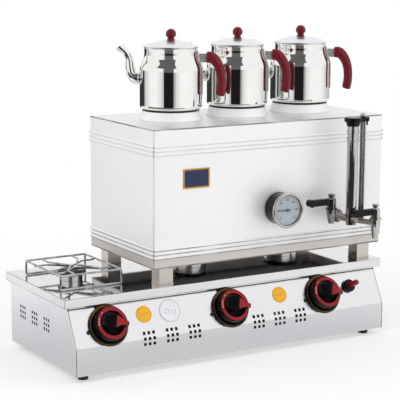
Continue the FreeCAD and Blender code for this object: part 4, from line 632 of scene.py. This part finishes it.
# Discs on the panel. Two of yellow film with an orange ring and a slanting bar, and one of clear film with a
# raised rim and two small rings. They are left plain. Vinyl film is even and half matt, and the clear one is
# a pale gloss on the steel.
DISC_RISE, YELLOW_PLACES, CLEAR_PLACE = 13.36, (-226.0, 123.0), -162.5
INK_OUT, INK_IN = 15.6, 14.9
BAR_SIZE, BAR_HEIGHT, BAR_SLANT = (20, 1.3, 0.1), 1.14, 10
yellow_film = moulded("yellow_film", "f3b41e", 0.3, 3.0, 0.02)
orange_ink = moulded("orange_ink", "cf7a14", 0.35, 3.0, 0.02)
film_outline = [
    (0, 0.3), (18.3, 0.3), (18.5, 0.45), (18.5, 1.0), (18.3, 1.1), (INK_OUT, 1.1), (INK_IN, 1.1), (0, 1.1)
]
discs = []
for place in YELLOW_PLACES:
    disc = turned("disc_blank", film_outline, 72)
    disc.data.materials.append(yellow_film)
    paint(disc, orange_ink, ring_face(INK_IN, INK_OUT))
    deselect()
    bpy.ops.mesh.primitive_cube_add(size=MM, location=(0, 0, BAR_HEIGHT * MM), scale=BAR_SIZE)
    bar = bpy.context.object
    bar.data.materials.append(orange_ink)
    rounded(bar, 0.04, 1)
    bar.rotation_euler.z = math.radians(BAR_SLANT)
    only(bar)
    bpy.ops.object.transform_apply()
    discs.append(set_down(welded("yellow_disc", [disc, bar]), on_panel(place * MM, DISC_RISE)))
clear_outline = [
    (0, 0.3), (24.8, 0.3), (25, 0.5), (25, 1.3), (24.6, 1.6), (23.6, 1.6), (23.2, 1.1), (21.6, 1.1),
    (21.3, 1.0), (0, 1.0),
]
clear_film = moulded("clear_film", "eceef1", 0.12, 3.0, 0.02)
grey_ink = moulded("grey_ink", "c3c5ca", 0.3, 3.0, 0.02)
CLEAR_RIM, SMALL_RINGS = (23.3, 24.7), ((-7.5, -1.0), (8.5, -3.5))
ring_outline = [(4.6, 0.9), (5.8, 0.9), (5.8, 1.5), (4.6, 1.5), (4.6, 0.9)]
clear_disc = turned("clear_disc", clear_outline, 72)
clear_disc.data.materials.append(clear_film)
paint(clear_disc, grey_ink, ring_face(*CLEAR_RIM, up=0.5))
rings = []
for x, y in SMALL_RINGS:
    ring = turned("clear_ring", ring_outline, 40)
    ring.data.materials.append(grey_ink)
    rings.append(set_down(ring, Matrix.Translation((x * MM, y * MM, 0))))
discs.append(set_down(welded("clear_disc", [clear_disc] + rings), on_panel(CLEAR_PLACE * MM, DISC_RISE)))
finish(welded("panel_film_discs", discs), None, "disc_vinyl", "stove", "panel_discs")

# Tank. Semi-bright stainless sheet with pressed beads top and bottom, a top plate, and low pressed collars
# that the teapots stand on. The shell and the seats have a pale sheen in place of a mirror image, with lines
# of painted brown shade at seams and beads; the top mirrors more, and the floor under it is black from the
# burners.
BEADS, BEAD_PITCH, LOW_BEAD, HIGH_BEAD_DROP, BEAD_FLANK = 3, 9.0, 23.0, 36.9, 2.0
tank_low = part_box("tank_shell")[0][2]
tank_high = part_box("tank_top")[1][2]
# Painted shade: brown lines beside the beads, strong low and faint high, and along the tank's outer edges.
bead_shade_lines = [(tank_low + (LOW_BEAD + i * BEAD_PITCH - BEAD_FLANK) * MM, 0.8) for i in range(BEADS)]
bead_shade_lines += [(tank_high - (HIGH_BEAD_DROP + i * BEAD_PITCH + BEAD_FLANK) * MM, 0.25) for i in range(BEADS)]
tank_edges = (["tank_shell", "tank_top"], 3.4)
tank_foot = (tank_low + (LOW_BEAD - 3.0) * MM, "cfcac6")
tank_marks = {"edges": tank_edges, "creases": bead_shade_lines, "foot": tank_foot}
tank_steel = sheet_steel(
    "semi_bright_stainless", "f8f8f8", "f3f3f4", 0.42, 0.5, relief=0.0, metal=0.42, **tank_marks
)
smoothed("tank_shell", "tank_beaded_shell", tank_steel, "tank_steel")
# Painted shade: a thin brown line along the top plate's edges.
top_steel = sheet_steel(
    "bright_top_stainless", "f8f8f8", "f0f0f2", 0.3, 0.4, relief=0.0, metal=0.7, edges=(["tank_top"], 1.2)
)
cover(["tank_top"], top_steel)
seat_steel = sheet_steel("satin_pressed_stainless", "ffffff", "fafafb", 0.5, 0.6, relief=0.0, metal=0.3)
smoothed("teapot_seats", "pressed_teapot_seats", seat_steel, "tank_steel")
cover(["tank_bottom"], moulded("heat_stained_steel", "1c1a19", 0.5, 30.0, 0.05))
leg_steel = sheet_steel("satin_stainless_tube", "d9d3cd", "c6bfb8", 0.22, 0.35)
cover(["leg_screws"], leg_steel)
smoothed("tank_legs", "square_tube_legs", leg_steel, "leg_steel")

# Nameplate. Thin aluminium plate, left bare: dark blue enamel inside a narrow gold border. The enamel is sunk
# a little and glossy, and the anodised border is a warm metal that blurs.
BORDER, ENAMEL_STEP, ENAMEL_DEPTH = 3.0, 0.3, 0.25
low, high = (Vector(corner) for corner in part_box("nameplate"))
navy_enamel = moulded("dark_blue_enamel", "16244c", 0.25, 3.0, 0.02)
border_gold = bright_metal("gold_anodised_aluminium", "d9a544", "b98634", 0.25, 0.4)
deselect()
bpy.ops.mesh.primitive_cube_add(size=1, location=(low + high) / 2, scale=high - low)
plate = bpy.context.object
plate.name = "enamelled_plate"
bpy.ops.object.transform_apply()
plate.data.materials.append(border_gold)
plate.data.materials.append(navy_enamel)
pick(plate, lambda middle, normal: normal.y < -0.9)
bpy.ops.mesh.inset(thickness=BORDER * MM, depth=0)
bpy.ops.mesh.inset(thickness=ENAMEL_STEP * MM, depth=-ENAMEL_DEPTH * MM)
bpy.ops.object.mode_set(mode="OBJECT")
for face in plate.data.polygons:
    if face.select:
        face.material_index = 1
finish(rounded(plate, 0.25), None, "plate_metal", "stove", "nameplate")

# Dial thermometer. Dark plated case on a stem that reaches into the tank, a bright rolled bezel, a pale
# printed dial with plain numbers, a pivoted needle and a flat glass.
low, high = (Vector(corner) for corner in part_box("thermometer_case"))
GAUGE_DEPTH, CASE_FLOOR, BEZEL_BACK, BEZEL_IN, DIAL_FACE, DIAL_RADIUS = 44.0, 35.05, 35.5, 35.0, 36.5, 33.9
gauge_back = Vector(((low.x + high.x) / 2, low.y + GAUGE_DEPTH * MM, (low.z + high.z) / 2))
to_front = Matrix(((1, 0, 0), (0, 0, -1), (0, 1, 0))).to_4x4()
gauge_frame = Matrix.Translation(gauge_back) @ to_front
# The plating of the drum is nearly black and mirrors sharply; chrome is bright and mirrors the whole room.
dark_plating = bright_metal("black_nickel_plating", "4b423d", "2c2624", 0.1, 0.2)
chrome = bright_metal("polished_chrome", "d0cecd", "b9b7b6", 0.03, 0.09)
case_outline = [
    (0, -99.7), (4.4, -99.7), (5, -99), (5, -4.7), (10, -4.7), (10, 0), (34.6, 0), (35.8, 0.7), (36, 1.8),
    (36, 5.2), (35.2, 6), (35.2, 8), (35.2, 31), (35.2, 33.6), (36, 35), (38, 35.9), (39.4, 36.6),
    (40, 37.8), (40, 41.2), (39.5, 42.8), (38.4, 43.8), (37.2, GAUGE_DEPTH), (35.6, 43.8), (34.5, 43.1),
    (34.15, 42.4), (34.15, CASE_FLOOR), (0, CASE_FLOOR),
]
case = turned("thermometer_drum", case_outline, 96)
case.data.materials.append(dark_plating)
paint(case, chrome, lambda middle, normal: middle.z > BEZEL_BACK and middle.xy.length > BEZEL_IN)
finish(set_down(case, gauge_frame), None, "gauge_metal", "stove", "thermometer_case")

# The dial is white baked paint, nearly matt, and its ink a blue black that is matt too.
DIAL_BACK, INK_HEIGHT = CASE_FLOOR + 0.3, DIAL_FACE + 0.03
dial_paint = moulded("dial_paint", "f4f8fd", 0.45, 6.0, 0.01)
dial_ink = moulded("dial_ink", "1d2633", 0.5, 2.0, 0.01)
disc_outline = [(0, DIAL_BACK), (DIAL_RADIUS, DIAL_BACK), (DIAL_RADIUS, DIAL_FACE), (0, DIAL_FACE)]
dial = turned("dial_disc", disc_outline, 96)
dial.data.materials.append(dial_paint)
marks = [dial]
TICKS, LONG_EVERY, TICK_END, LONG_TICK, SHORT_TICK = 60, 10, 31.4, 3.4, 1.8
NUMBERS, NUMBER_STEP, NUMBER_RADIUS, NUMBER_SIZE = 7, 20, 23.6, 7.6
SCALE_START, SCALE_SWEEP = -135, 270
for step in range(TICKS + 1):
    length = SHORT_TICK if step % LONG_EVERY else LONG_TICK
    bearing = math.radians(SCALE_START + SCALE_SWEEP * step / TICKS)
    deselect()
    middle = Vector((0, TICK_END - length / 2, INK_HEIGHT)) * MM
    bpy.ops.mesh.primitive_cube_add(size=MM, location=middle, scale=(0.5, length, 0.1))
    tick = bpy.context.object
    bpy.ops.object.transform_apply()
    tick.data.materials.append(dial_ink)
    marks.append(set_down(tick, Matrix.Rotation(-bearing, 4, "Z")))
for step in range(NUMBERS):
    bearing = math.radians(SCALE_START + SCALE_SWEEP * step / (NUMBERS - 1))
    deselect()
    bpy.ops.object.text_add()
    number = bpy.context.object
    number.data.body = str(NUMBER_STEP * step)
    number.data.size = NUMBER_SIZE * MM
    number.data.extrude = 0.05 * MM
    number.data.align_x = "CENTER"
    number.data.align_y = "CENTER"
    bpy.ops.object.convert(target="MESH")
    number = bpy.context.object
    number.data.materials.clear()
    number.data.materials.append(dial_ink)
    spot = Vector((math.sin(bearing) * NUMBER_RADIUS, math.cos(bearing) * NUMBER_RADIUS, INK_HEIGHT)) * MM
    marks.append(set_down(number, Matrix.Translation(spot)))
pivot_low, pivot_high, pivot_radius = DIAL_FACE - 1.0, DIAL_FACE + 3.1, 1.5
pivot_outline = [(0, pivot_low), (pivot_radius, pivot_low), (pivot_radius, pivot_high), (0, pivot_high)]
marks.append(turned("dial_pivot", pivot_outline, 24))
marks[-1].data.materials.append(chrome)
printed_dial = set_down(welded("thermometer_printed_dial", marks), gauge_frame)
finish(printed_dial, None, "dial_paint", "stove", "thermometer_dial")
smoothed("thermometer_needle", "thermometer_hand", dial_ink, "needle_paint", "needle")

# Glass. Flat under the thermometer's bezel, and a drawn tube in its bracket at the taps. It is clear, with
# faint smears on its gloss.
gauge_glass, tree, shader, place = start_material("float_glass")
shader.inputs["Base Color"].default_value = tint("f4f8fb")
shader.inputs["Transmission Weight"].default_value = 1.0
shader.inputs["Roughness"].default_value = 0.01
shader.inputs["IOR"].default_value = 1.45
smear = add_node(tree, "TexNoise", {"Vector": place, "Scale": 60.0, "Detail": 3.0})
smear = {"Value": smear.outputs[0], "From Min": 0.5, "From Max": 0.8, "To Min": 0.01, "To Max": 0.05}
tree.links.new(add_node(tree, "MapRange", smear).outputs[0], shader.inputs["Roughness"])
cover(["thermometer_glass", "sight_tube"], gauge_glass)

# Tap set. Cast and turned brass, chrome plated: a manifold with its outlet pipe, hub and two arms, two tap
# bodies with turning keys, and the filter canister with knurled rings. Plating mirrors whatever stands near.
# On the manifold and the left tap it is painted darker, and the sight tube's guard is satin, so it only
# glows.
# Painted reflection: the shaded chrome is a darker copy of the chrome, standing for darker surroundings.
shaded_chrome = bright_metal("shaded_chrome", "9c9896", "7d7977", 0.05, 0.12)
satin_chrome = bright_metal("satin_chrome", "e6e4e3", "d2d0cf", 0.24, 0.34)
for node_name, piece_name, body, plating in (
    ("tap_body_right", "plated_tap_right", "stove", chrome),
    ("tap_key_right", "plated_key_right", "right_key", chrome),
    ("filter_canister", "plated_filter_canister", "stove", chrome),
    ("tap_manifold", "plated_manifold", "stove", shaded_chrome),
    ("tap_body_left", "plated_tap_left", "stove", shaded_chrome),
    ("tap_key_left", "plated_key_left", "left_key", shaded_chrome),
    ("sight_guard", "plated_sight_guard", "stove", satin_chrome),
):
    smoothed(node_name, piece_name, plating, "tap_chrome", body)

# Levers, canister cap and sight tube bracket. Black mouldings with softly rounded edges, each fixed to the
# metal piece that it turns, closes or holds.
for node_name, piece_name, body in (
    ("tap_lever_left", "moulded_lever_left", "left_key"),
    ("tap_lever_right", "moulded_lever_right", "right_key"),
    ("canister_cap", "moulded_canister_cap", "cap"),
    ("sight_bracket", "moulded_sight_bracket", "stove"),
):
    smoothed(node_name, piece_name, black_moulding, "lever_plastic", body)

# Teapots. Bodies spun from stainless sheet and polished to a mirror, with a soft shoulder, a rolled rim and a
# base plate browned by the heat. Spout, strap and tang are welded on.
# The body mirrors almost without haze, the strap is brushed, and the lid is satin and a little cold.
pot_steel = bright_metal("mirror_polished_stainless", "fafafa", "f1f1ef", 0.02, 0.05, 30.0)
strap_steel = bright_metal("satin_strap_stainless", "f6f6f6", "ececec", 0.35, 0.45, 20.0)
lid_steel = bright_metal("satin_lid_stainless", "f4f6fb", "e9ecf2", 0.26, 0.36, 30.0)
base_steel = bright_metal("heat_browned_steel", "5a4438", "2e2420", 0.2, 0.4, 8.0)
POT_RADIUS, NECK_RADIUS, POT_HEIGHT, POT_WALL = 70.0, 59.5, 141.0, 1.0
POT_FLOOR, POT_CORNER = 3.5, 7.0
SHOULDER_LOW, SHOULDER_HIGH = 88.0, 127.0
POT_TURN = -31.0


def bend(centre, radius, first, last, steps):
    """Points along an arc, angles in degrees."""
    points = []
    for step in range(steps + 1):
        angle = math.radians(first + (last - first) * step / steps)
        points.append((centre[0] + radius * math.cos(angle), centre[1] + radius * math.sin(angle)))
    return points


def shoulder(offset):
    """The S of the shoulder, upwards: one arc that bulges and one that is hollow."""
    width, rise = POT_RADIUS - NECK_RADIUS, SHOULDER_HIGH - SHOULDER_LOW
    radius = (width ** 2 + rise ** 2) / (4 * width)
    half = math.degrees(math.asin(rise / 2 / radius))
    bulge = bend((POT_RADIUS - radius, SHOULDER_LOW), radius + offset, 0, half, 8)
    hollow = bend((NECK_RADIUS + radius, SHOULDER_HIGH), radius - offset, 180 + half, 180, 8)
    return bulge + hollow[1:]


corner_centre = (POT_RADIUS - POT_CORNER, POT_FLOOR + POT_CORNER)
corner = bend(corner_centre, POT_CORNER, -90, 0, 8)
rim = bend((NECK_RADIUS - 0.3, POT_HEIGHT - 1.3), 1.3, -80, 170, 10)
inner_corner = bend(corner_centre, POT_CORNER - POT_WALL, 0, -90, 6)
# Two points near the wall's ends keep its shading straight, and with it what the wall mirrors.
wall = [(POT_RADIUS, 13.0), (POT_RADIUS, SHOULDER_LOW - 3.0)]
foot = [(0, 0.6), (58, 0.6), (60, 0), (63.2, 0), (64, 0.8), (64, 3.0), (63.4, POT_FLOOR)]
body_outline = foot + corner + wall + shoulder(0)
body_outline += [(NECK_RADIUS, POT_HEIGHT - 3)] + rim + [(NECK_RADIUS - POT_WALL, POT_HEIGHT - 3)]
body_outline += shoulder(-POT_WALL)[::-1] + inner_corner + [(0, POT_FLOOR + POT_WALL)]


def drawn_out(name, stations, corners=16):
    """A bent round or oval piece, drawn out of a circle: stations are (reach, height, lean, thick, wide)."""
    reach, height, lean, thick, wide = stations[0]
    deselect()
    centre = Vector((reach, 0, height)) * MM
    slope = (0, math.radians(90 - lean), 0)
    bpy.ops.mesh.primitive_circle_add(
        vertices=corners, radius=MM, fill_type="NGON", location=centre, rotation=slope
    )
    piece = bpy.context.object
    piece.name = name
    piece.data.name = name
    bpy.ops.object.transform_apply()
    bpy.ops.object.mode_set(mode="EDIT")
    bpy.ops.mesh.select_mode(type="FACE")
    bpy.ops.mesh.select_all(action="SELECT")
    bpy.ops.transform.resize(value=(thick, wide, thick), center_override=centre)
    for reach, height, new_lean, new_thick, new_wide in stations[1:]:
        following = Vector((reach, 0, height)) * MM
        bpy.ops.mesh.extrude_region_move(TRANSFORM_OT_translate={"value": following - centre})
        bpy.ops.transform.rotate(
            value=math.radians(new_lean - lean), orient_axis="Y", center_override=following
        )
        growth = (new_thick / thick, new_wide / wide, new_thick / thick)
        bpy.ops.transform.resize(value=growth, center_override=following)
        centre, lean, thick, wide = following, new_lean, new_thick, new_wide
    return piece


def subdivided(piece, levels=2):
    """Round a piece off with a subdivision surface."""
    only(piece)
    bpy.ops.object.modifier_add(type="SUBSURF")
    smooth = piece.modifiers[-1]
    smooth.levels = levels
    smooth.render_levels = levels
    bpy.ops.object.modifier_apply(modifier=smooth.name)
    bpy.ops.object.shade_smooth_by_angle(angle=math.radians(50))
    return piece


# Spout stations: distance out from the body, share of the pot's height, radius, lean of the run.
SPOUT = (
    (-1.5, 0.5, 16.0, 180), (6, 0.51, 15, 172), (12.2, 0.527, 13.9, 153), (16.5, 0.555, 12.8, 132),
    (19.2, 0.603, 11.9, 112), (20.5, 0.66, 11, 97), (21.2, 0.715, 10.3, 94), (22, 0.77, 9.6, 96),
    (23.4, 0.82, 8.9, 105), (26, 0.865, 8.4, 116), (29.6, 0.908, 8.3, 128), (34, 0.945, 8.6, 134),
    (39.5, 0.979, 9.8, 130), (45, 1.01, 11.5, 122),
)
spout_run = [
    (-POT_RADIUS - out, share * POT_HEIGHT, lean, radius, radius) for out, share, radius, lean in SPOUT
]
# Grip stations: distance out from the body, height, half thickness, half width, lean of the run.
GRIP = (
    (9.5, 118.5, 11, 7.7, 0), (10.4, 118.5, 13, 9.2, 0), (17, 119, 13.4, 9.8, -4),
    (22.8, 117.4, 13.2, 9.9, -18), (27.5, 114, 12.8, 10, -38), (36, 103, 11.6, 10, -62),
    (41.5, 88, 10.8, 10, -76), (44, 70, 10.4, 9.8, -87), (43.3, 52, 10.4, 9.8, -95),
    (41, 39.5, 10.8, 9.8, -104), (40, 34.2, 10, 9.2, -104), (39.5, 32, 7.4, 6.8, -104),
)
grip_run = [(POT_RADIUS + out, height, lean, thick, wide) for out, height, thick, wide, lean in GRIP]

STRAP_LOW, STRAP_HIGH, STRAP_THICK, STRAP_WIDTH, STRAP_SUNK, STRAP_END = 35.0, 133.0, 2.5, 12.0, 0.5, 1.6
strap_outline = [(POT_RADIUS - STRAP_SUNK, STRAP_LOW)] + shoulder(-STRAP_SUNK)
strap_outline += [(NECK_RADIUS - STRAP_SUNK, STRAP_HIGH), (NECK_RADIUS + STRAP_END, STRAP_HIGH)]
strap_outline += [(NECK_RADIUS + STRAP_THICK, STRAP_HIGH - 1.5)] + shoulder(STRAP_THICK)[::-1]
strap_outline += [(POT_RADIUS + STRAP_THICK, STRAP_LOW + 1.5), (POT_RADIUS + STRAP_END, STRAP_LOW)]
strap_outline.append(strap_outline[0])
STRAP_SWEEP = math.degrees(STRAP_WIDTH / POT_RADIUS)

# Bakelite is dark and glossy and goes a little deeper in its grain; the balls are the more polished.
bakelite = moulded("dark_red_bakelite", "6e131e", 0.2, 2.0, 0.03, 0.35)
ball_bakelite = moulded("red_bakelite", "6b1220", 0.14, 2.0, 0.03, 0.35)
DOME_HEIGHT, LID_RADIUS, LID_RIM = 13.0, 61.5, 2.5
DOME = (LID_RADIUS ** 2 + DOME_HEIGHT ** 2) / (2 * DOME_HEIGHT)
dome_start = math.degrees(math.asin(LID_RADIUS / DOME))
lid_outline = [(60.6, 0.3), (61.2, 0.5), (LID_RADIUS, 1.2), (LID_RADIUS, 1.8), (61.2, 2.4)]
dome_centre = (0, LID_RIM + DOME_HEIGHT - DOME)
lid_outline += bend(dome_centre, DOME, 90 - dome_start + 0.6, 90, 20)
lid_outline += bend(dome_centre, DOME - POT_WALL, 90, 90 - dome_start + 2.4, 16)
lid_outline += [(56.3, -8), (57.3, -8), (57.3, 0.3), (60.6, 0.3)]
ball_outline = [(0, 0), (10, 0), (9.6, 0.8), (8.2, 2.0), (7.4, 3.0)] + bend((0, 13.5), 11.5, -54, 90, 22)

# The tang is a flat plate that reaches into the grip. The spout's mouth has a thin edge and is hollow.
POTS = ("1", "2", "3")
TANG_PLACE, TANG_SIZE = Vector((75, 0, 117)), (25, 3, 20)
MOUTH_EDGE, MOUTH_DEPTH, MOUTH_TAPER = 0.9, 2.2, 0.72
for index in POTS:
    low, high = (Vector(corner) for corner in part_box("teapot_lid_" + index))
    stand = Vector(((low.x + high.x) / 2, (low.y + high.y) / 2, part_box("teapot_" + index)[0][2]))
    at = Matrix.Translation(stand) @ Matrix.Rotation(math.radians(POT_TURN), 4, "Z")
    body = turned("teapot_spun_body", body_outline, 128)
    body.data.materials.append(pot_steel)
    paint(body, base_steel, lambda middle, normal: middle.z < 4.2)
    spout = drawn_out("teapot_spout", spout_run)
    bpy.ops.mesh.inset(thickness=MOUTH_EDGE * MM)
    mouth = (Vector(spout_run[-2][:2]) - Vector(spout_run[-1][:2])) * MOUTH_DEPTH * MM
    bpy.ops.mesh.extrude_region_move(TRANSFORM_OT_translate={"value": (mouth.x, 0, mouth.y)})
    bpy.ops.transform.resize(value=(MOUTH_TAPER, MOUTH_TAPER, MOUTH_TAPER))
    bpy.ops.object.mode_set(mode="OBJECT")
    spout.data.materials.append(pot_steel)
    strap = turned("teapot_strap", strap_outline, 3, STRAP_SWEEP, -STRAP_SWEEP / 2)
    strap.data.materials.append(strap_steel)
    deselect()
    bpy.ops.mesh.primitive_cube_add(size=MM, location=TANG_PLACE * MM, scale=TANG_SIZE)
    tang = bpy.context.object
    bpy.ops.object.transform_apply()
    tang.data.materials.append(strap_steel)
    pieces = [body, subdivided(spout, 1), rounded(strap, 0.3), rounded(tang, 0.6)]
    teapot = set_down(welded("steel_teapot_" + index, pieces), at)
    finish(teapot, None, "pot_steel", "pot_" + index, "teapot_" + index)

    grip = drawn_out("bakelite_grip_" + index, grip_run)
    bpy.ops.object.mode_set(mode="OBJECT")
    set_down(subdivided(grip), at)
    finish(grip, bakelite, "grip_bakelite", "pot_" + index, "teapot_grip_" + index)

    lid_at = Matrix.Translation(Vector((0, 0, POT_HEIGHT * MM))) @ at
    lid = turned("steel_lid_" + index, lid_outline, 128)
    finish(set_down(lid, lid_at), lid_steel, "pot_steel", "lid_" + index, "teapot_lid_" + index)
    ball_at = Matrix.Translation(Vector((0, 0, (LID_RIM + DOME_HEIGHT + 0.3) * MM))) @ lid_at
    ball = set_down(turned("bakelite_ball_" + index, ball_outline, 64), ball_at)
    finish(ball, ball_bakelite, "ball_bakelite", "lid_" + index, "teapot_lid_ball_" + index)
